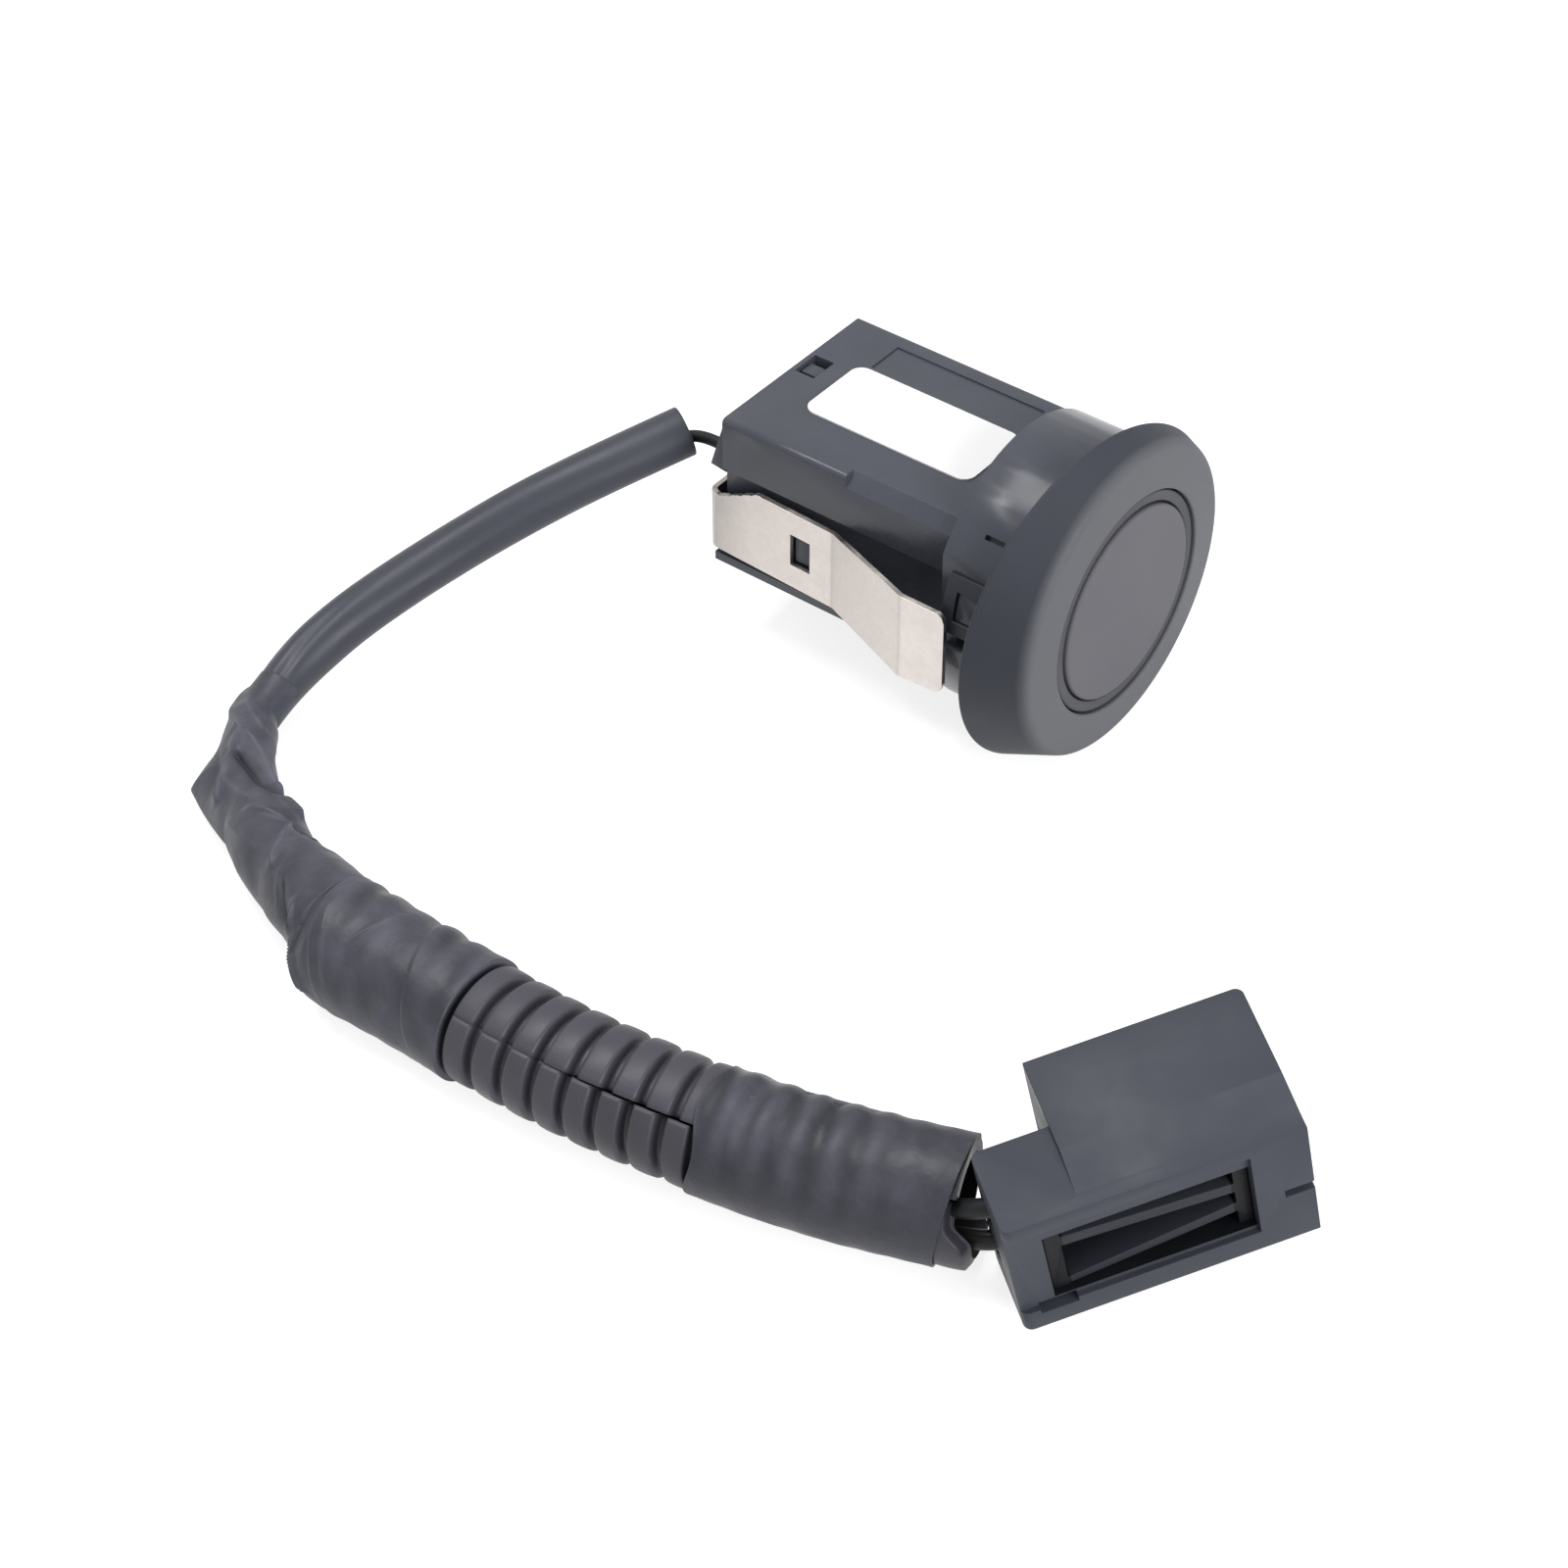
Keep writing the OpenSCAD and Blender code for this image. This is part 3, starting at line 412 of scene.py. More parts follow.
def finish(name, colour, rough, contrast, bump, rough_spread=0.12, grain=5000.0, cloud=160.0, scuff=0.0,
           scuff_colour=None, metallic=0.0, specular=0.25, face_colour=None, toned=False):
    """Procedural finish: clouds, specks and scuffs in the colour, clouds in the roughness, raised grain.

    With face_colour, the colour changes between FACE_FROM and FACE_TO along the sensing axis. With toned, the
    piece's own attribute "tone" multiplies the colour; on the clip, tapes, conduit, plug and retainer it
    holds painted light and shade.
    """
    material = bpy.data.materials.new(name)
    material.use_nodes = True
    tree = material.node_tree
    shader = tree.nodes["Principled BSDF"]
    place = tree.nodes.new("ShaderNodeTexCoord").outputs["Object"]
    looks = tree.nodes.new("ShaderNodeGroup")
    looks.node_tree = GRAIN
    feed(tree, place, looks.inputs["Vector"])
    feed(tree, grain, looks.inputs["Grain scale"])
    feed(tree, cloud, looks.inputs["Cloud scale"])
    cloudy = spread(tree, looks.outputs["Cloud"], *CLOUD_RANGE)
    tint = blend_colour(tree, cloudy, scaled(colour, 1 - contrast), scaled(colour, 1 + contrast))
    speck = maths(tree, "MULTIPLY", spread(tree, looks.outputs["Grain"], *SPECK_RANGE), SPECK_SHARE)
    tint = blend_colour(tree, speck, tint, scaled(colour, 1 - SPECK_DEPTH * contrast))
    if scuff:
        marks = maths(tree, "MULTIPLY", looks.outputs["Scuff"], scuff)
        tint = blend_colour(tree, marks, tint, scuff_colour)
    if face_colour:
        along = tree.nodes.new("ShaderNodeSeparateXYZ")
        feed(tree, place, along.inputs[0])
        in_front = spread(tree, along.outputs["X"], FACE_FROM * MM, FACE_TO * MM)
        face = blend_colour(tree, cloudy, scaled(face_colour, 1 - contrast),
                            scaled(face_colour, 1 + contrast))
        tint = blend_colour(tree, in_front, tint, face)
    if toned:
        tone = tree.nodes.new("ShaderNodeAttribute")
        tone.attribute_name = "tone"
        times = tree.nodes.new("ShaderNodeVectorMath")
        times.operation = "SCALE"
        feed(tree, tint, times.inputs[0])
        feed(tree, tone.outputs["Fac"], times.inputs["Scale"])
        tint = times.outputs[0]
    feed(tree, tint, shader.inputs["Base Color"])
    uneven = spread(tree, looks.outputs["Cloud"], *CLOUD_RANGE, rough - rough_spread, rough + rough_spread)
    feed(tree, uneven, shader.inputs["Roughness"])
    feed(tree, metallic, shader.inputs["Metallic"])
    feed(tree, specular, shader.inputs["Specular IOR Level"])
    lift = tree.nodes.new("ShaderNodeBump")
    feed(tree, 1.0, lift.inputs["Strength"])
    feed(tree, bump * MM, lift.inputs["Distance"])
    feed(tree, looks.outputs["Grain"], lift.inputs["Height"])
    feed(tree, lift.outputs[0], shader.inputs["Normal"])
    return material


BODY = finish("body plastic", srgb(74, 77, 86), 0.25, bump=0.002, contrast=0.08)
BEZEL = finish("bezel plastic", srgb(53, 56, 64), 0.55, rough_spread=0.06, bump=0.02, contrast=0.06,
               grain=9000.0, face_colour=srgb(95, 96, 101))
RUBBER = finish("isolator rubber", srgb(74, 75, 80), 0.62, bump=0.015, contrast=0.06)
DISC = finish("sensor face", srgb(94, 94, 100), 0.55, rough_spread=0.05, bump=0.01, contrast=0.03,
              grain=9000.0)
STEEL = finish("clip steel", srgb(208, 201, 196), 0.4, rough_spread=0.14, contrast=0.14, bump=0.012,
               grain=2500.0, cloud=420.0, scuff=0.6, scuff_colour=srgb(150, 142, 136), metallic=1.0,
               toned=True)
PAPER = finish("label film", srgb(248, 248, 248), 0.5, contrast=0.01, bump=0.003)
VINYL = finish("sleeve vinyl", srgb(66, 68, 77), 0.42, contrast=0.08, bump=0.006)
TAPE = finish("tape vinyl", srgb(70, 71, 80), 0.46, rough_spread=0.14, contrast=0.28, bump=0.03, grain=1400.0,
              cloud=260.0, scuff=0.4, scuff_colour=srgb(112, 111, 118), toned=True)
CONDUIT = finish("conduit plastic", srgb(72, 71, 79), 0.42, contrast=0.1, bump=0.01, toned=True)
PLUG = finish("plug plastic", srgb(62, 65, 74), 0.48, contrast=0.06, bump=0.008, specular=0.18, toned=True)
RETAINER = finish("retainer plastic", srgb(50, 52, 60), 0.5, contrast=0.06, bump=0.008, specular=0.18,
                  toned=True)
WIRE = finish("wire insulation", srgb(26, 28, 30), 0.5, contrast=0.1, bump=0.005)
BOARD = finish("circuit board", srgb(40, 92, 66), 0.35, contrast=0.15, bump=0.01)
FERRITE = finish("ferrite", srgb(70, 71, 76), 0.6, contrast=0.1, bump=0.02)
CHIP = finish("chip resin", srgb(36, 37, 40), 0.5, contrast=0.08, bump=0.01)
CAPACITOR = finish("capacitor ceramic", srgb(170, 140, 92), 0.45, contrast=0.08, bump=0.01)
CERAMIC = finish("piezo ceramic", srgb(204, 184, 140), 0.55, contrast=0.06, bump=0.01)
FOAM = finish("damping foam", srgb(132, 132, 128), 0.9, contrast=0.14, bump=0.08, grain=1800.0)
LEAD = finish("lead insulation", srgb(168, 62, 48), 0.45, contrast=0.08, bump=0.005)
BRASS = finish("terminal metal", srgb(214, 176, 104), 0.3, contrast=0.08, bump=0.005, metallic=1.0)

for node, material in (("circuit_board", BOARD), ("transformer", FERRITE), ("control_chip", CHIP),
                       ("capacitors", CAPACITOR), ("piezo_disc", CERAMIC), ("damping_pad", FOAM),
                       ("transducer_leads", LEAD), ("terminals", BRASS), ("label", PAPER)):
    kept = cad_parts[node].data.materials
    kept.clear()
    kept.append(material)


# Camera, light and floor
# places and sizes in metres, power in watts
CAMERA_AT = (0.10887, -0.17267, 0.16032)
LOOK_AT = (-0.01499, -0.01345, -0.01815)
VIEW_ANGLE = math.radians(24)
CLIP_START = 0.01
# lamps: name, place, target, size and power
LAMPS = [("overhead", (-0.14, -0.02, 0.50), (-0.01, -0.02, 0), 0.24, 1.55),
         ("front right", (0.50, -0.13, 0.18), (0, -0.02, -0.01), 0.36, 2.5),
         ("streak", (-0.25, -0.17, 0.46), (-0.01, -0.02, 0), 0.07, 0.35)]
AMBIENT = 0.36
WHITE = (1, 1, 1, 1)
FLOOR_HALF = 2.0
FLOOR_GREY = (0.5, 0.5, 0.5, 1)
FLOOR_GLOW = 0.8
# millimetres between the floor and what lies on it
FLOOR_GAP = 0.02


def aim(obj, place, target):
    """Puts the camera or a lamp at a place, facing a target."""
    obj.location = place
    obj.rotation_euler = (Vector(target) - Vector(place)).to_track_quat("-Z", "Y").to_euler()
    scene.collection.objects.link(obj)


def seen_directly(tree):
    """1 for rays from the camera, and for those that mirror or glass passes on."""
    path = tree.nodes.new("ShaderNodeLightPath")
    seen = maths(tree, "MAXIMUM", path.outputs["Is Camera Ray"], path.outputs["Is Glossy Ray"])
    return maths(tree, "MAXIMUM", seen, path.outputs["Is Transmission Ray"])


camera = bpy.data.objects.new("camera", bpy.data.cameras.new("camera"))
camera.data.angle = VIEW_ANGLE
camera.data.clip_start = CLIP_START
aim(camera, CAMERA_AT, LOOK_AT)
scene.camera = camera
scene.view_settings.view_transform = "Standard"

for name, place, target, size, power in LAMPS:
    lamp = bpy.data.lights.new(name, "AREA")
    lamp.size = size
    lamp.energy = power
    aim(bpy.data.objects.new(name, lamp), place, target)

world = bpy.data.worlds.new("studio")
scene.world = world
world.use_nodes = True
sky = world.node_tree.nodes["Background"]
feed(world.node_tree, WHITE, sky.inputs["Color"])
sky_light = spread(world.node_tree, seen_directly(world.node_tree), 0, 1, AMBIENT, 1.0)
feed(world.node_tree, sky_light, sky.inputs["Strength"])

floor_z = (FLOOR_Z - FLOOR_GAP) * MM
floor_corners = [(x * FLOOR_HALF, y * FLOOR_HALF, floor_z) for x, y in ((-1, -1), (1, -1), (1, 1), (-1, 1))]
floor_mesh = bpy.data.meshes.new("floor")
floor_mesh.from_pydata(floor_corners, [], [(0, 1, 2, 3)])
floor = bpy.data.objects.new("floor", floor_mesh)
scene.collection.objects.link(floor)
pale = bpy.data.materials.new("pale floor")
pale.use_nodes = True
floor_light = maths(pale.node_tree, "MULTIPLY", seen_directly(pale.node_tree), FLOOR_GLOW)
for socket, value in (("Base Color", FLOOR_GREY), ("Roughness", 1.0), ("Specular IOR Level", 0.0),
                      ("Emission Color", WHITE), ("Emission Strength", floor_light)):
    feed(pale.node_tree, value, pale.node_tree.nodes["Principled BSDF"].inputs[socket])
floor_mesh.materials.append(pale)


# Harness
WIRE_SIDES = 16
LEAD_R = 0.45
LEAD_ROWS = 60

SLEEVE_R = 1.9
SLEEVE_BORE = 1.35
SLEEVE_SIDES = 48
SLEEVE_ROWS = 160
# lengths and radii of the sleeve's cut end, from its bore to its wall
CUT_END = [(2.5, SLEEVE_BORE), (0.1, SLEEVE_BORE), (0.0, SLEEVE_BORE + 0.1), (0.0, SLEEVE_R - 0.12),
           (0.03, SLEEVE_R - 0.03)]
WALL_FROM = 0.12
# share by which the tape draws the sleeve in, and over which length
NARROW_BY = 0.16
NARROW_OVER = 8
# the crease deepens between two lengths, and its angle turns with the length
CREASE_DEPTH = 0.2
CREASE_FROM = 22
CREASE_TO = 34
CREASE_WIDTH = 0.22
CREASE_ANGLE = 1.7
CREASE_ANGLE_AT = 30
CREASE_TURN = 0.02
OVAL_BY = 0.02
OVAL_PACE = 0.35

CONDUIT_R = 4.1
CONDUIT_BORE = 3.2
# diameter over ribs and grooves on average, which its cord declares
# points of the route between which the conduit shows
BARE_FROM = 3
BARE_TO = 6
RIBS = 8
RIB_CROWN = 0.12
GROOVE_DEPTH = 0.75
# half widths of a groove's floor and of its opening
GROOVE_FLAT = 0.18
GROOVE_HALF = 0.48
SLIT_ANGLE = math.radians(47)
# half the slit's angle at the rear and at the front, and how far the ribs step across it
SLIT_HALF = (0.002, 0.02)
SLIT_SHIFT = 0.75
# how many ribs at the rear have the slit shut, and how many at the front have it open
SLIT_SHUT = 2.5
SLIT_OPEN = 2
SLIT_SHADE = 0.2
SLIT_SHADE_RUN = (-0.05, 0.15)
# painted shade on the conduit's inner wall
INSIDE_SHADE = 0.2
# lip at the front end
LIP_LEN = 1.2
LIP_TURN = 1.0
LIP_RUN = (0.2, 0.6)
LIP_OVER = 4
ARC_POINTS = 72
# rows of points behind, along and in front of the bare length
CONDUIT_ROWS = (14, 220, 120)
BARE_MARGIN = 0.9
ROW_GAP = 0.1


def wire_piece(name, route, radius, rows):
    """Insulated wire round a route, closed at both ends."""
    angle = ring_angles(WIRE_SIDES)
    s = np.linspace(0, route.length, rows)[:, None] + 0 * angle
    return surface(name, tube(route.around(s, radius + 0 * s, angle)), WIRE)


def wound_tape(route, s, radius, angle, ends):
    """Rings of a tape that rests on the floor, between two hidden rings with the radii in ends."""
    wall = route.around(s, radius, angle)
    wall[..., 2] = np.maximum(wall[..., 2], FLOOR_Z)
    first, last = [route.around(s[[k]], np.full(angle.shape, r), angle) for k, r in zip((0, -1), ends)]
    return np.concatenate([first, wall, last])


def ring_tones(tone):
    """Tones of a wound tape's rings: the hidden ones take those of their neighbours."""
    return np.concatenate([tone[:1], tone, tone[-1:]])


# lead wire from the grommet into the sleeve
lead_wire = wire_piece("lead_wire_skin", Route(LEAD_ROUTE), LEAD_R, LEAD_ROWS)
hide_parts("lead_wire")

# smooth sleeve: an open cut end at the sensor, a crease and a narrowing before the tape
sleeve_route = Route(SLEEVE_ROUTE)


def sleeve_radius(s, angle):
    """Sleeve radius, drawn in towards the tape, with one long crease along its upper side."""
    narrow = 1 - NARROW_BY * soft_step(s, sleeve_route.length - NARROW_OVER, sleeve_route.length)
    away = angle - CREASE_ANGLE - CREASE_TURN * (s - CREASE_ANGLE_AT)
    crease = CREASE_DEPTH * soft_step(s, CREASE_FROM, CREASE_TO) * np.exp(-(away / CREASE_WIDTH) ** 2)
    oval = OVAL_BY * np.cos(2 * angle) * np.sin(OVAL_PACE * s)
    return SLEEVE_R * (narrow + oval) - crease


sleeve_angle = ring_angles(SLEEVE_SIDES)
sleeve_s = np.linspace(WALL_FROM, sleeve_route.length, SLEEVE_ROWS)[:, None] + 0 * sleeve_angle
sleeve_wall = sleeve_route.around(sleeve_s, sleeve_radius(sleeve_s, sleeve_angle), sleeve_angle)
cut_s, cut_r = np.array(CUT_END).T[:, :, None] + 0 * sleeve_angle
cut_end = sleeve_route.around(cut_s, cut_r, sleeve_angle)
sleeve = surface("sleeve_skin", tube(np.concatenate([cut_end, sleeve_wall])), VINYL)
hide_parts("sleeve")

# corrugated conduit with its slit: outer arc with ribs, inner arc back
conduit_route = Route(CONDUIT_ROUTE)
bare_from = conduit_route.nearest(CONDUIT_ROUTE[BARE_FROM])
bare_to = conduit_route.nearest(CONDUIT_ROUTE[BARE_TO])
rib_pitch = (bare_to - bare_from) / RIBS


def slit_open(s):
    """How far the slit has opened: 0 at the rear of the bare length, 1 at its front."""
    return soft_step(s, bare_from + SLIT_SHUT * rib_pitch, bare_to - SLIT_OPEN * rib_pitch)


def rib_radius(s, angle):
    """Conduit radius: ribs with round crowns between flat grooves, that step sideways across the slit."""
    across = (angle - SLIT_ANGLE) / (2 * math.pi) - 0.5
    phase = (s + SLIT_SHIFT * slit_open(s) * across - bare_from) / rib_pitch
    away = np.abs(phase - np.round(phase)) * rib_pitch
    groove = 1 - soft_step(away, GROOVE_FLAT, GROOVE_HALF)
    crown = RIB_CROWN * (2 * away / rib_pitch - 1) ** 2
    return CONDUIT_R - crown - GROOVE_DEPTH * groove


def closed_ends(points):
    """Strips that close the two ends of a loop made of an outer arc and the same arc back inside."""
    outer, inner = points[:, :ARC_POINTS], points[:, ARC_POINTS:][:, ::-1]
    return [{"points": np.stack([inner[0], outer[0]])}, {"points": np.stack([outer[-1], inner[-1]])}]


arc = np.linspace(0, 1, ARC_POINTS)
around = np.concatenate([arc, arc[::-1]])[None, :]
inside = np.concatenate([np.zeros(ARC_POINTS), np.ones(ARC_POINTS)])[None, :]
row_ends = [(0, bare_from - (BARE_MARGIN + ROW_GAP)), (bare_from - BARE_MARGIN, bare_to + BARE_MARGIN),
            (bare_to + (BARE_MARGIN + ROW_GAP), conduit_route.length)]
conduit_s = np.concatenate([np.linspace(*ends, count) for ends, count in zip(row_ends, CONDUIT_ROWS)])
conduit_s = conduit_s[:, None] + 0 * around
slit_half = SLIT_HALF[0] + (SLIT_HALF[1] - SLIT_HALF[0]) * slit_open(conduit_s)
loop_angle = SLIT_ANGLE + slit_half + 2 * (math.pi - slit_half) * around
conduit_radius = np.where(inside > 0, CONDUIT_BORE, rib_radius(conduit_s, loop_angle))
lip_out = LIP_LEN * soft_step(np.cos(loop_angle + LIP_TURN), *LIP_RUN)
conduit_s = conduit_s + lip_out * soft_step(conduit_s, conduit_route.length - LIP_OVER, conduit_route.length)
conduit_end = conduit_route.at(conduit_route.length, "heading")
beyond = np.maximum(0, conduit_s - conduit_route.length)[..., None] * conduit_end
conduit_points = conduit_route.around(conduit_s, conduit_radius, loop_angle) + beyond
conduit_loop = {"points": conduit_points, "wrap_columns": True}
conduit = surface("conduit_skin", [conduit_loop] + closed_ends(conduit_points), CONDUIT)
from_slit = loop_angle - SLIT_ANGLE
# painted shade below the open slit and on the inner wall
below = soft_step(-np.sin(from_slit), *SLIT_SHADE_RUN) * (np.cos(from_slit) > 0)
loop_shade = np.where(inside > 0, INSIDE_SHADE, 1 - SLIT_SHADE * below * slit_open(conduit_s))
end_shades = [loop_shade[[row, row], :ARC_POINTS].ravel() for row in (0, -1)]
set_tone(conduit, np.concatenate([loop_shade.ravel(), *end_shades]))
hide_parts("conduit")

# tape over the joint and the conduit's rear end, in one winding
TAPE_R = 4.4
TAPE_SIDES = 160
TAPE_ROWS = 480
TAPE_SINK = 0.12
TAPE_LEAD = 3.0
# radii of the hidden ends, on the sleeve and on the conduit
TAPE_ENDS = (SLEEVE_R - 0.4, CONDUIT_R - 0.15)
# folds: length and angle at both ends, height (a valley below 0) and width
FOLDS = [(0.5, -0.1, 7.4, 1.5, 0.5, 0.3), (7.4, 1.5, 12.8, 0.3, 0.6, 0.3), (7.8, 1.75, 14.0, 2.6, 0.6, 0.26),
         (9.0, 1.15, 15.5, 2.35, -0.6, 0.4), (14.5, 2.2, 18.0, 2.6, 0.5, 0.3),
         (17.0, 1.2, 19.5, 2.0, 0.5, 0.26), (19.5, 2.0, 24.0, 1.0, 0.5, 0.26),
         (18.0, 1.8, 22.5, 2.5, -0.35, 0.4), (31.2, -0.2, 28.4, 0.95, 0.6, 0.3),
         (29.6, 0.2, 26.0, 1.05, -0.4, 0.4), (33.0, 0.3, 31.0, 1.3, 0.2, 0.35),
         (11.5, 0.7, 16.0, 1.35, 0.25, 0.3), (33.5, 0.9, 35.5, 1.9, 0.12, 0.3),
         (3.0, 1.2, 7.0, 2.3, 0.3, 0.3), (16.0, 0.5, 21.0, 0.9, 0.18, 0.4)]
FOLD_FADE = 0.7
FOLD_ROUND = 0.02
# distance of the outline from the middle line, on the outer and the inner side of the bend
OUTER = ([0, 3, 5, 7, 10, 13, 16, 19, 22, 25, 28, 29.5, 30.2, 31, 32, 50],
         [1.75, 1.68, 1.7, 1.9, 2.2, 2.6, 2.85, 3.05, 3.0, 2.85, 2.55, 2.7, 3.7, 4.25, TAPE_R, TAPE_R])
INNER = ([0, 3, 4, 5, 7, 10, 13, 15, 17.5, 20, 22, 24, 26, 28, 30, 31, 50],
         [1.75, 1.68, 1.9, 2.1, 2.25, 2.1, 1.97, 2.3, 2.8, 2.75, 2.95, 3.4, 3.85, 4.1, 4.3, TAPE_R, TAPE_R])
OUTER_SIDE = -0.3
# ripples over the conduit's ribs, strongest on the upper side
OVER_FROM = 0.5
OVER_TO = 2
RIPPLE = 0.1
UPPER_SIDE = 2.6
UPPER_RUN = (-0.2, 0.8)
UPPER_LEAST = 0.35
EVEN_SHARE = 0.6
# turns of the winding
WRAP_LEAD = 8.0
WRAP_STEP = 0.1
WRAP_EDGE = 0.03
# loose corner: lengths of its start, tip and end, height, half width in radians and power of its slope
CORNER = (6.6, 9.0, 16.0, 2.2)
CORNER_HALF = 0.8
CORNER_SLOPE = 1.3
# last layer: where its edge lies at each angle, its thickness, rise and fading out
LAYER_START = -0.3
LAYER_EDGE = ([LAYER_START, 0.6, 1.5, 2.84, 4.4, 5.98], [27.5, 26.5, 23.5, 24.0, 28.0, 27.5])
LAYER_T = 0.14
LAYER_RISE = 0.25
LAYER_FADE = (30, 36)
WRINKLE = 0.06
FINE_WRINKLE = 0.025
# how the folds (painted shade in their valleys, lighter on their ridges), ripples (painted shade), clouds and
# the conduit change the tone, and its range
TAPE_FOLD_SHADE = 1.5
RIPPLE_SHADE = 2.5
CLOUD_TONE = 0.16
OVER_TONE = 0.1
TAPE_TONES = (0.55, 1.6)

tape_lead_in = [tuple(sleeve_route.at(sleeve_route.length - TAPE_LEAD))]
tape_route = Route(tape_lead_in + SLEEVE_ROUTE[-1:] + JUNCTION_ROUTE + CONDUIT_ROUTE[:BARE_FROM + 1])
conduit_at = tape_route.nearest(CONDUIT_ROUTE[0])


def turn_from(angle, middle):
    """Angle from a middle one, from -pi to pi."""
    return np.angle(np.exp(1j * (angle - middle)))


def fold_ridges(s, angle, width_at):
    """Creases of folded tape: a sharp-topped bump over the distance to each fold's line."""
    total = 0
    for s0, a0, s1, a1, height, width in FOLDS:
        f = np.clip((s - s0) / (s1 - s0), 0, 1)
        away = turn_from(angle, a0 + (a1 - a0) * f) * width_at
        low, high = min(s0, s1), max(s0, s1)
        rises = soft_step(s, low - FOLD_FADE, low + FOLD_FADE)
        falls = 1 - soft_step(s, high - FOLD_FADE, high + FOLD_FADE)
        total = total + height * (rises * falls) * np.exp(-np.sqrt((away / width) ** 2 + FOLD_ROUND))
    return total


def tape_radius(s, angle):
    """Wound tape: its outline on both sides, faint ripples over the ribs, turns, folds and a loose corner.

    The second value is the tone: lighter on the ridges of the folds, painted shade in their valleys and
    between the ribs, clouds, and lighter over the conduit.
    """
    outer = 0.5 + 0.5 * np.cos(angle - OUTER_SIDE)
    girth = outer * np.interp(s, *OUTER) + (1 - outer) * np.interp(s, *INNER)
    over = soft_step(s, conduit_at - OVER_FROM, conduit_at + OVER_TO)
    upper = UPPER_LEAST + (1 - UPPER_LEAST) * soft_step(np.cos(angle - UPPER_SIDE), *UPPER_RUN)
    uneven = EVEN_SHARE + (1 - EVEN_SHARE) * waves(s, angle, seed=21, rough=0.6, count=4)
    beat = np.cos(2 * math.pi * (s - tape_route.length) / rib_pitch) - 1
    ripple = RIPPLE * over * upper * uneven * beat
    turn = np.mod(s / WRAP_LEAD + angle / (2 * math.pi), 1)
    lap = WRAP_STEP * (1 - turn) * soft_step(turn, 0, WRAP_EDGE)
    side = turn_from(angle, OUTER_SIDE)
    first, tip, last, height = CORNER
    along = np.interp(s, [first, tip, last], [0, 1, 0], left=0, right=0)
    corner = height * along * np.maximum(0, 1 - np.abs(side) / CORNER_HALF) ** CORNER_SLOPE
    edge_at = np.interp(np.mod(angle - LAYER_START, 2 * math.pi) + LAYER_START, *LAYER_EDGE)
    layer = LAYER_T * soft_step(s, edge_at, edge_at + LAYER_RISE) * (1 - soft_step(s, *LAYER_FADE))
    folds = fold_ridges(s, angle, girth)
    creases = folds + (1 - over) * WRINKLE * waves(s, angle, seed=3)
    small = FINE_WRINKLE * over * waves(s, angle, seed=8, rough=2.0)
    clouds = CLOUD_TONE * waves(s, 2 * angle, seed=14, rough=1.2)
    # painted shade in the folds' valleys and between the ribs, lighter on the ridges, with clouds
    tone = 1 + TAPE_FOLD_SHADE * folds + RIPPLE_SHADE * ripple + clouds + OVER_TONE * over
    radius = girth + ripple + lap - TAPE_SINK + layer + corner + creases + small
    return radius, np.clip(tone, *TAPE_TONES)


tape_angle = ring_angles(TAPE_SIDES)
tape_s = np.linspace(0, tape_route.length, TAPE_ROWS)[:, None] + 0 * tape_angle
tape_r, tape_shade_and_clouds = tape_radius(tape_s, tape_angle)
tape_rings = wound_tape(tape_route, tape_s, tape_r, tape_angle, TAPE_ENDS)
tape = surface("harness_tape", tube(tape_rings), TAPE)
# the last two values are those of the middles of its two ends
set_tone(tape, np.append(ring_tones(tape_shade_and_clouds), [1.0, 1.0]))
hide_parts("junction_tape", "conduit_tape_rear")

# tape round the conduit's front end
FRONT_TAPE_R = 4.3
FRONT_SIDES = 96
FRONT_ROWS = 200
FRONT_ENDS = (CONDUIT_R - 0.3, CONDUIT_R - 0.05)
# ragged rear edge, and a front edge cut at a slant
FRONT_LAP = 0.4
FRONT_RAGGED = 0.5
FRONT_CUT = 1.2
FRONT_CUT_SIDE = math.radians(115)
FRONT_RIPPLE = 0.12
FRONT_RIPPLE_LEN = 6
FRONT_WRINKLE = 0.02
# pale streaks on the upper side, and painted shade on the lower side
STREAK_TONE = 0.7
STREAK_FADE = (3, 7)
STREAK_SIDE = (0.3, 0.8)
UNDER_SHADE = 0.25
UNDER_TURN = 0.5
UNDER_RUN = (-0.4, 0.3)
FRONT_TONES = (0.5, 1.7)

front_angle = ring_angles(FRONT_SIDES)
ragged = FRONT_RAGGED * waves(0 * front_angle, front_angle, seed=5, rough=1.0, count=4)
front_from = bare_to - FRONT_LAP + ragged
front_to = conduit_route.length - FRONT_CUT * (0.5 - 0.5 * np.cos(front_angle - FRONT_CUT_SIDE))
front_s = front_from + (front_to - front_from) * np.linspace(0, 1, FRONT_ROWS)[:, None]
fading = 1 - soft_step(front_s, bare_to + FRONT_RIPPLE_LEN, conduit_route.length)
beat = np.cos(2 * math.pi * (front_s - bare_from) / rib_pitch + math.pi) - 1
front_ripple = FRONT_RIPPLE * fading * beat * np.sin(front_angle).clip(0, 1)
front_r = FRONT_TAPE_R + front_ripple + FRONT_WRINKLE * waves(front_s, front_angle, seed=11, rough=2.0)
front_rings = wound_tape(conduit_route, front_s, front_r, front_angle, FRONT_ENDS)
front_tape = surface("front_tape", closed_loop(front_rings), TAPE)
# lighter streaks on the upper side, fading out towards the front
streak_reach = STREAK_TONE * (1 - soft_step(front_s, bare_to + STREAK_FADE[0], bare_to + STREAK_FADE[1]))
streaked = streak_reach * np.maximum(0, waves(front_s, front_angle, seed=17, rough=2.6))
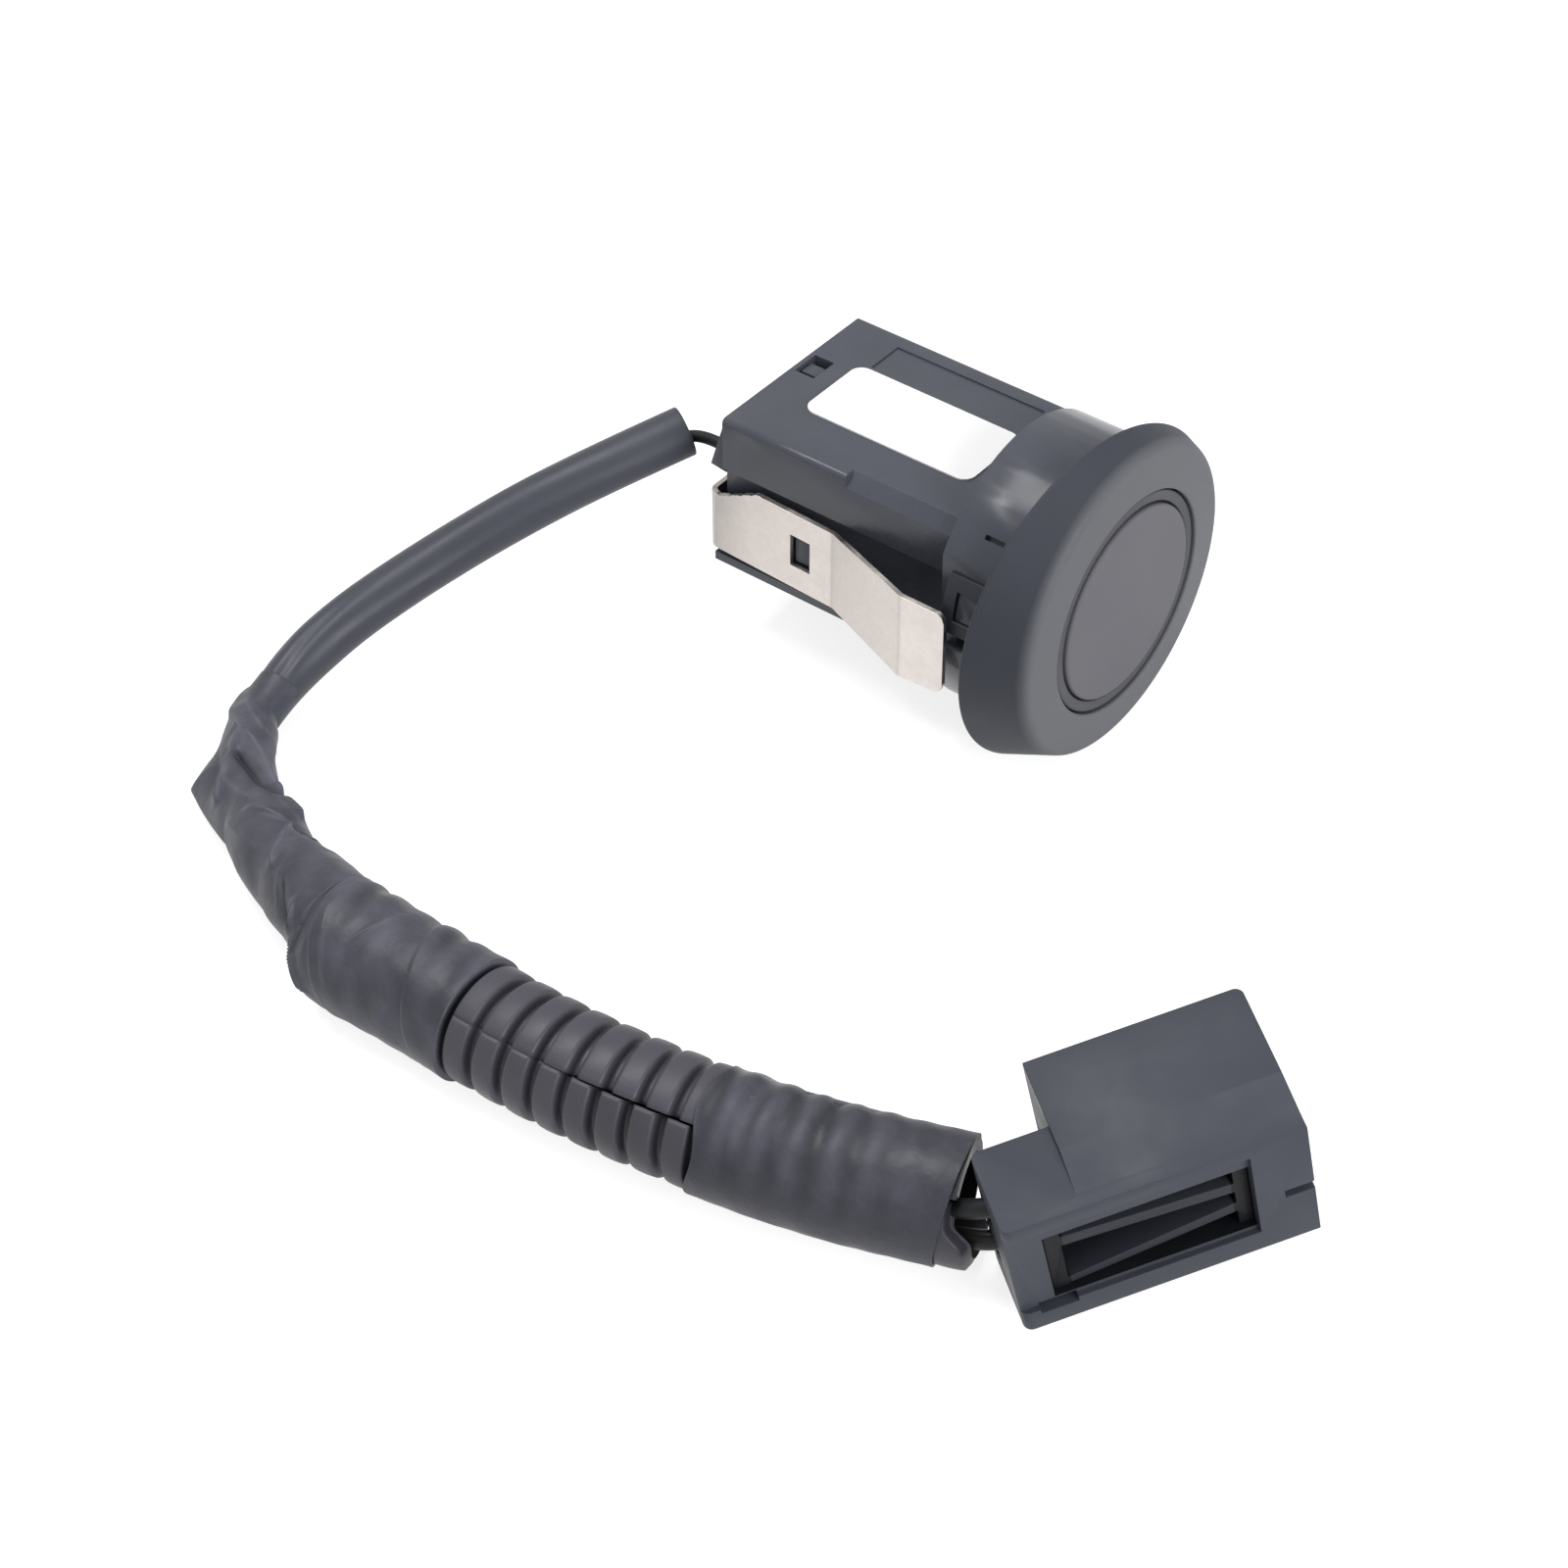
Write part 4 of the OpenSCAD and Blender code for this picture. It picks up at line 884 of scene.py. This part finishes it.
# painted shade between the ribs and on the lower side, pale streaks on the upper side
front_shade_and_streaks = 1 + RIPPLE_SHADE * front_ripple + streaked * soft_step(np.sin(front_angle), *STREAK_SIDE)
front_shade_and_streaks = front_shade_and_streaks - UNDER_SHADE * soft_step(-np.sin(front_angle - UNDER_TURN), *UNDER_RUN)
front_shade_and_streaks = np.clip(front_shade_and_streaks, *FRONT_TONES)
set_tone(front_tape, ring_tones(front_shade_and_streaks))
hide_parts("conduit_tape_front")

# the two wires from the joint through the conduit into the plug
PLUG_PLACE = np.array([31.5, -49.4, -12.0])
PLUG_TURN = np.radians([5.4, -12.4, 52.8])
CAVITY_Y = 4.6
CAVITY_Z = (3.4, 7.0)
WIRE_R = 0.65
WIRE_ROWS = 160
# where each wire lies in the conduit, to its side and up, at first and where it leaves
WIRE_LIES = np.array([(0.85, -2.2), (-0.85, -0.6)])
WIRE_LEAVES = np.array([(1.8, -1.2), (1.8, 1.2)])
# lengths from the conduit's rear end, lengths back from its front end, and lengths in the plug
WIRE_STOPS = (0.2, 10, 20, 30, 38)
WIRE_LAST_STOPS = (6, 1.5)
WIRE_IN_PLUG = (0.8, 3.2, 8.0)
WIRE_TURNS_AT = 30


def plug_axes():
    """The plug's own directions as columns: turned about X, then Y, then Z."""
    (cx, cy, cz), (sx, sy, sz) = np.cos(PLUG_TURN), np.sin(PLUG_TURN)
    about_x = np.array([[1, 0, 0], [0, cx, -sx], [0, sx, cx]])
    about_y = np.array([[cy, 0, sy], [0, 1, 0], [-sy, 0, cy]])
    about_z = np.array([[cz, -sz, 0], [sz, cz, 0], [0, 0, 1]])
    return about_z @ about_y @ about_x


def in_plug(p):
    """Points given along the plug's length, depth and height, in the part's frame."""
    return PLUG_PLACE + np.asarray(p, float) @ plug_axes().T


def from_plug(p):
    """Points of the part's frame along the plug's length, depth and height."""
    return (np.asarray(p, float) - PLUG_PLACE) @ plug_axes()


plug_wires = []
for number, height in enumerate(CAVITY_Z):
    run = np.array([*WIRE_STOPS, *[conduit_route.length - back for back in WIRE_LAST_STOPS]])
    leaving = soft_step(run, WIRE_TURNS_AT, run[-1])[:, None]
    across, rise = (WIRE_LIES[number] + (WIRE_LEAVES[number] - WIRE_LIES[number]) * leaving).T[:, :, None]
    lying = conduit_route.at(run) + across * conduit_route.at(run, "side")
    lying = lying + rise * conduit_route.at(run, "up")
    entry = [in_plug((x, CAVITY_Y, height)) for x in WIRE_IN_PLUG]
    wire_route = Route([tuple(p) for p in (*lying, *entry)])
    plug_wires.append((wire_piece(f"plug_wire_{number + 1}", wire_route, WIRE_R, WIRE_ROWS), wire_route))
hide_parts("plug_wires")


# Bezel and transducer
BEZEL_R = 12.0
BEZEL_DEPTH = 4.5
BEZEL_EDGE = 0.8
BEZEL_SIDES = 288
BEZEL_HOLD = 0.12
BORE_EDGE = 0.14
RIM_FLARE = math.radians(22)
RIM_BACK = 1.4
RIM_BACK_EDGE = 0.16
RIM_YAW = math.radians(6)
RIM_PITCH = math.radians(2.3)
RIM_FLAT = 12.0
RIM_KINK = 0.3
# the flat is sought only where the cosine of the angle is below this, and elsewhere the rim has no limit
FLAT_COSINE = -0.1
NO_LIMIT = 99.0
SEAT_R = 11.3
SEAT_GROOVE = 3.0
CORE_R = 10.95
FACE_X = 4.8
SPIGOT = 0.6
ISO_R = 8.5
ISO_BACK = -3.2
ISO_BACK_EDGE = 0.1
ISO_DROP = 0.2
ISO_EDGE = 0.16
ISO_HOLD = 0.1
ISO_LIP = 1.4
DISC_R = 7.4
DISC_EDGE = 0.2
DISC_HOLD = 0.12
CUP_BACK = -2.4
CUP_FLOOR = 4.0
CUP_IN_R = 6.5
POLE_R = 0.3
GROOVE_GAP = 0.13
GROOVE_FLOOR = FACE_X - 1.1


def bezel_section(angle):
    """Outline (x, radius) of the bezel at an angle from the top.

    The rim's cone is radius = start + tan(flare) * (start_x - x). Its back lies on the slanted plane
    x = RIM_BACK + radius * slant(angle). The flat at the bottom keeps radius * cos(angle) above -RIM_FLAT.
    """
    slant = math.tan(RIM_YAW) * math.sin(angle) + math.tan(RIM_PITCH) / math.cos(RIM_YAW) * math.cos(angle)
    grow = math.tan(RIM_FLARE)
    start = BEZEL_R - BEZEL_EDGE + BEZEL_EDGE * math.cos(RIM_FLARE)
    start_x = BEZEL_DEPTH - BEZEL_EDGE + BEZEL_EDGE * math.sin(RIM_FLARE)
    edge = (start + grow * (start_x - RIM_BACK)) / (1 + grow * slant)
    limit = RIM_FLAT / -math.cos(angle) if math.cos(angle) < FLAT_COSINE else NO_LIMIT
    back = min(edge, limit)
    kink = min(edge - RIM_KINK, limit)
    front = math.tan((math.pi / 2 - RIM_FLARE) / 2) * BEZEL_EDGE
    corners = [(SPIGOT, ISO_R, 0), (FACE_X, ISO_R, BORE_EDGE),
               (BEZEL_DEPTH, BEZEL_R - BEZEL_EDGE + front, BEZEL_EDGE),
               (start_x - (kink - start) / grow, kink, 0), (RIM_BACK + back * slant, back, RIM_BACK_EDGE),
               (RIM_BACK + SEAT_R * slant, SEAT_R, 0), (SEAT_GROOVE, SEAT_R, 0), (SEAT_GROOVE, CORE_R, 0),
               (SPIGOT, CORE_R, 0)]
    return rounded(corners, steps=8, hold=BEZEL_HOLD)


bezel_profiles = np.stack([bezel_section(a) for a in ring_angles(BEZEL_SIDES)[0]])
bezel = surface("bezel", closed_loop(turned(bezel_profiles, BEZEL_SIDES)), BEZEL)

isolator_profile = rounded([(ISO_BACK, DISC_R - ISO_LIP, ISO_BACK_EDGE), (CUP_BACK, DISC_R - ISO_LIP, 0),
                            (CUP_BACK, DISC_R, 0), (GROOVE_FLOOR, DISC_R, 0),
                            (GROOVE_FLOOR, DISC_R + GROOVE_GAP, 0),
                            (FACE_X - ISO_DROP, DISC_R + GROOVE_GAP, ISO_EDGE),
                            (FACE_X - ISO_DROP, ISO_R - GROOVE_GAP, ISO_EDGE),
                            (GROOVE_FLOOR, ISO_R - GROOVE_GAP, 0), (GROOVE_FLOOR, ISO_R, 0),
                            (ISO_BACK, ISO_R, ISO_BACK_EDGE)], steps=6, hold=ISO_HOLD)
isolator = surface("isolator", closed_loop(turned(isolator_profile)), RUBBER)
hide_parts("isolator_ring")

# cup with the sensor's face, from the middle of its floor round the rim to the middle of its face
cup_inside = [[CUP_FLOOR, POLE_R], [CUP_FLOOR, CUP_IN_R], [CUP_BACK, CUP_IN_R], [CUP_BACK, DISC_R]]
cup_outside = rounded([(CUP_BACK, DISC_R, 0), (FACE_X, DISC_R, DISC_EDGE), (FACE_X, POLE_R, 0)], steps=6,
                      hold=DISC_HOLD)
cup_profile = np.concatenate([cup_inside, cup_outside[1:]])
cup = surface("transducer", tube(turned(cup_profile).swapaxes(0, 1)), DISC)
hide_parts("transducer_cup")

# snap tabs of the bezel: part of a cylinder with a window, given its thickness afterwards
TAB_X = (-3.7, -2.7, -1.0, 0.9)
TAB_Z = (0.2, 1.3, 3.5, 4.6)
TAB_R = 10.6
TAB_T = 1.0
TAB_EDGE = 0.08
TAB_STEPS = 7


def stepped(ends):
    """Even steps between neighbouring ends, with each end once."""
    parts = [np.linspace(a, b, TAB_STEPS)[:-1] for a, b in zip(ends[:-1], ends[1:])]
    return np.concatenate(parts + [[ends[-1]]])


def between(values, low, high):
    """Which values lie between two others."""
    return (values > low) & (values < high)


tab_x = stepped(TAB_X)
tab_z = stepped(TAB_Z)
gx, gz = np.meshgrid(tab_x, tab_z, indexing="ij")
window_x = between((tab_x[:-1] + tab_x[1:]) / 2, *TAB_X[1:3])
window_z = between((tab_z[:-1] + tab_z[1:]) / 2, *TAB_Z[1:3])
window = window_x[:, None] & window_z[None, :]
for name, side, order in (("snap_tab_left", -1, 1), ("snap_tab_right", 1, -1)):
    points = np.stack([gx, side * np.sqrt(TAB_R**2 - gz**2), gz], axis=-1)[:, ::order]
    tab = surface(name, [{"points": points, "keep": ~window[:, ::order]}], BEZEL)
    give_thickness(tab, TAB_T)
    finish_edges(tab, TAB_EDGE, segments=2)
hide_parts("bezel_ring")


# Body, cover and plug
moulded("sensor_housing", BODY, edge=0.2)
moulded("rear_cover", BODY, edge=0.26)
moulded("cable_grommet", RUBBER, edge=0.1)
plug_body = moulded("plug_housing", PLUG, edge=0.2)
retainer = moulded("plug_retainer", RETAINER, edge=0.1)

# the plate on the plug's top runs out in a ramp, and its side window is in shade
# depth and height of the plate's foot, in the plug's own directions
PLATE_FOOT = (4.1, 10.8)
RAMP_TO = 1.0
NEAR = 0.03
BELOW_PLATE = 0.05
SHADE_BOX = ((2.2, 1.0, 1.9), (15.4, 6.0, 8.4))
SHADE_TONE = 0.12
# lengths between which the retainer's middle takes a light painted shade; its posts outside take a dark
# painted shade
RETAINER_POSTS = (3.55, 14.1)
RETAINER_MIDDLE_SHADE = 0.85
POST_SHADE = 0.2

local = from_plug(points_of(plug_body))
foot = np.all(np.abs(local[:, 1:] - PLATE_FOOT) < NEAR, axis=1)
local[foot, 1] = RAMP_TO
plug_body.data.vertices.foreach_set("co", (in_plug(local) * MM).ravel())
ramp_ends = np.minimum(np.abs(local[:, 1] - PLATE_FOOT[0]), np.abs(local[:, 1] - RAMP_TO)) < NEAR
kink = (local[:, 2] > PLATE_FOOT[1] - BELOW_PLATE) & ramp_ends
for edge in plug_body.data.edges:
    edge.use_edge_sharp = bool(kink[edge.vertices[0]] and kink[edge.vertices[1]])
where = from_plug(middles_of(plug_body))
shaded = np.all(between(where, *SHADE_BOX), axis=1)
set_tone(plug_body, np.where(shaded, SHADE_TONE, 1.0), "FACE")

# the retainer is cut at its posts, so that each face has one tone
cut_mesh = bmesh.new()
cut_mesh.from_mesh(retainer.data)
for along in RETAINER_POSTS:
    bmesh.ops.bisect_plane(cut_mesh, geom=cut_mesh.verts[:] + cut_mesh.edges[:] + cut_mesh.faces[:],
                           plane_co=in_plug((along, 0, 0)) * MM, plane_no=plug_axes()[:, 0])
cut_mesh.to_mesh(retainer.data)
cut_mesh.free()
along = from_plug(middles_of(retainer))[:, 0]
set_tone(retainer, np.where(between(along, *RETAINER_POSTS), RETAINER_MIDDLE_SHADE, POST_SHADE), "FACE")


# Spring clip
CLIP_T = 0.4
CLIP_EDGE = 0.06
CLIP_LOW = -4.3
CLIP_HIGH = 2.3
CLIP_TIP = -2.7
CLIP_FRONT_Y = 11.5
CLIP_MID_Y = 8.8
CLIP_REAR_Y = 8.3
CLIP_BACK = -26.0
CLIP_RISE = (-24.7, -21.3)
CLIP_REAR_DROP = 1.7
CLIP_BELLY = 0.5
CLIP_TIP_BELLY = 0.25
CLIP_TIP_R = 0.7
CLIP_BEND_R = 0.7
CLIP_CORNER_R = 0.9
FOLD_A = -14.3
FOLD_B = -6.5
# window: its two ends and its lower and upper edge
CLIP_WINDOW = (-18.2, -16.4, -2.35, 0.35)
# only points this far in front of the back are moved to the window's ends
BACK_CLEAR = 2
# rows of faces below, in and above the window
CLIP_STEPS = 6
# uneven edge at the rear: height, reach behind and in front of the rise, and two paces
BURR = 0.07
BURR_RUN = (0.5, 1)
BURR_PACES = (9, 3.1)
# painted light and shade at lengths along the clip, a level for each panel as the light falls on it, and a
# line of painted shade in each fold
CLIP_PANEL_SHADING = ([CLIP_BACK, -24.5, -22.0, FOLD_A - 0.3, FOLD_A + 0.3, FOLD_B - 0.3, FOLD_B + 0.3, CLIP_TIP],
              [0.66, 0.74, 0.9, 0.96, 0.82, 0.9, 1.02, 1.0])
CLIP_FOLD_SHADE = 0.18
CLIP_FOLD_SHADE_HALF = 0.16


def bent_line(corners, spacing=0.18):
    """Open line through corners (x, y, radius) with round bends, read off at an even spacing."""
    c = np.asarray(corners, float)
    bends = rounded(c, steps=9)
    closed_from = np.argmin(np.linalg.norm(bends - c[0, :2], axis=1))
    bends = np.roll(bends, -closed_from, axis=0)
    reach = np.concatenate([[0], np.cumsum(np.linalg.norm(np.diff(bends, axis=0), axis=1))])
    even = np.linspace(0, reach[-1], int(reach[-1] / spacing) + 1)
    return np.stack([np.interp(even, reach, bends[:, k]) for k in range(2)], axis=1)


def clip_edges(x):
    """Lower and upper edge: sloped at the rear corners, bellied at the second fold, round at the tips."""
    low = np.interp(x, [CLIP_BACK, FOLD_A, FOLD_B, CLIP_TIP],
                    [CLIP_LOW, CLIP_LOW, CLIP_LOW - CLIP_BELLY, CLIP_LOW - CLIP_TIP_BELLY])
    rear_high = CLIP_HIGH - CLIP_REAR_DROP
    high = np.interp(x, [CLIP_BACK, *CLIP_RISE, CLIP_TIP], [rear_high, rear_high, CLIP_HIGH, CLIP_HIGH])
    at_rear = 1 - soft_step(x, CLIP_RISE[1] - BURR_RUN[0], CLIP_RISE[1] + BURR_RUN[1])
    burr = BURR * at_rear * np.sin(BURR_PACES[0] * x) * np.sin(BURR_PACES[1] * x)
    past = np.maximum(0, x - (CLIP_TIP - CLIP_TIP_R))
    cut = CLIP_TIP_R - np.sqrt(np.maximum(0, CLIP_TIP_R**2 - past**2))
    return low + cut, high - cut + burr


half_plan = [(CLIP_TIP, CLIP_FRONT_Y, 0), (FOLD_B, CLIP_FRONT_Y, CLIP_BEND_R),
             (FOLD_A, CLIP_MID_Y, CLIP_BEND_R), (CLIP_BACK, CLIP_REAR_Y, CLIP_CORNER_R)]
line = bent_line([(x, -y, r) for x, y, r in half_plan] + half_plan[::-1])
left = line[:, 1] < 0
# the window's ends fall on the line's own points
for edge_x in CLIP_WINDOW[:2]:
    for face in (left, ~left):
        near = np.where(face & (line[:, 0] > CLIP_BACK + BACK_CLEAR))[0]
        line[near[np.argmin(np.abs(line[near, 0] - edge_x))], 0] = edge_x

low_edge, high_edge = [edge[:, None] for edge in clip_edges(line[:, 0])]
w_low, w_high = CLIP_WINDOW[2:]
steps = np.linspace(0, 1, CLIP_STEPS + 1)[None, :]
clip_z = np.concatenate([low_edge + (w_low - low_edge) * steps[:, :-1],
                         w_low + (w_high - w_low) * steps[:, :-1] + 0 * low_edge,
                         w_high + (high_edge - w_high) * steps], axis=1)
clip_points = np.stack([line[:, 0:1] + 0 * clip_z, line[:, 1:2] + 0 * clip_z, clip_z], axis=-1)
in_window = between((line[:-1, 0] + line[1:, 0]) / 2, *CLIP_WINDOW[:2])[:, None]
row_in = np.zeros(clip_z.shape[1] - 1, bool)
row_in[CLIP_STEPS:2 * CLIP_STEPS] = True
clip = surface("clip", [{"points": clip_points[:, ::-1], "keep": ~(in_window & row_in[::-1][None, :])}],
               STEEL)
# the clip's tone is painted light and shade: darker at the rear, one level per panel, painted shade in the
# folds
clip_x = points_of(clip)[:, 0]
clip_shading = np.interp(clip_x, *CLIP_PANEL_SHADING)
for fold_x in (FOLD_A, FOLD_B):
    clip_shading -= CLIP_FOLD_SHADE * np.exp(-((clip_x - fold_x) / CLIP_FOLD_SHADE_HALF) ** 2)
set_tone(clip, clip_shading)
give_thickness(clip, CLIP_T)
finish_edges(clip, CLIP_EDGE, segments=2)
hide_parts("spring_clip")


# Path points of the plug wires' routes, worked out and not used further
for piece, route in plug_wires:
    route.path()
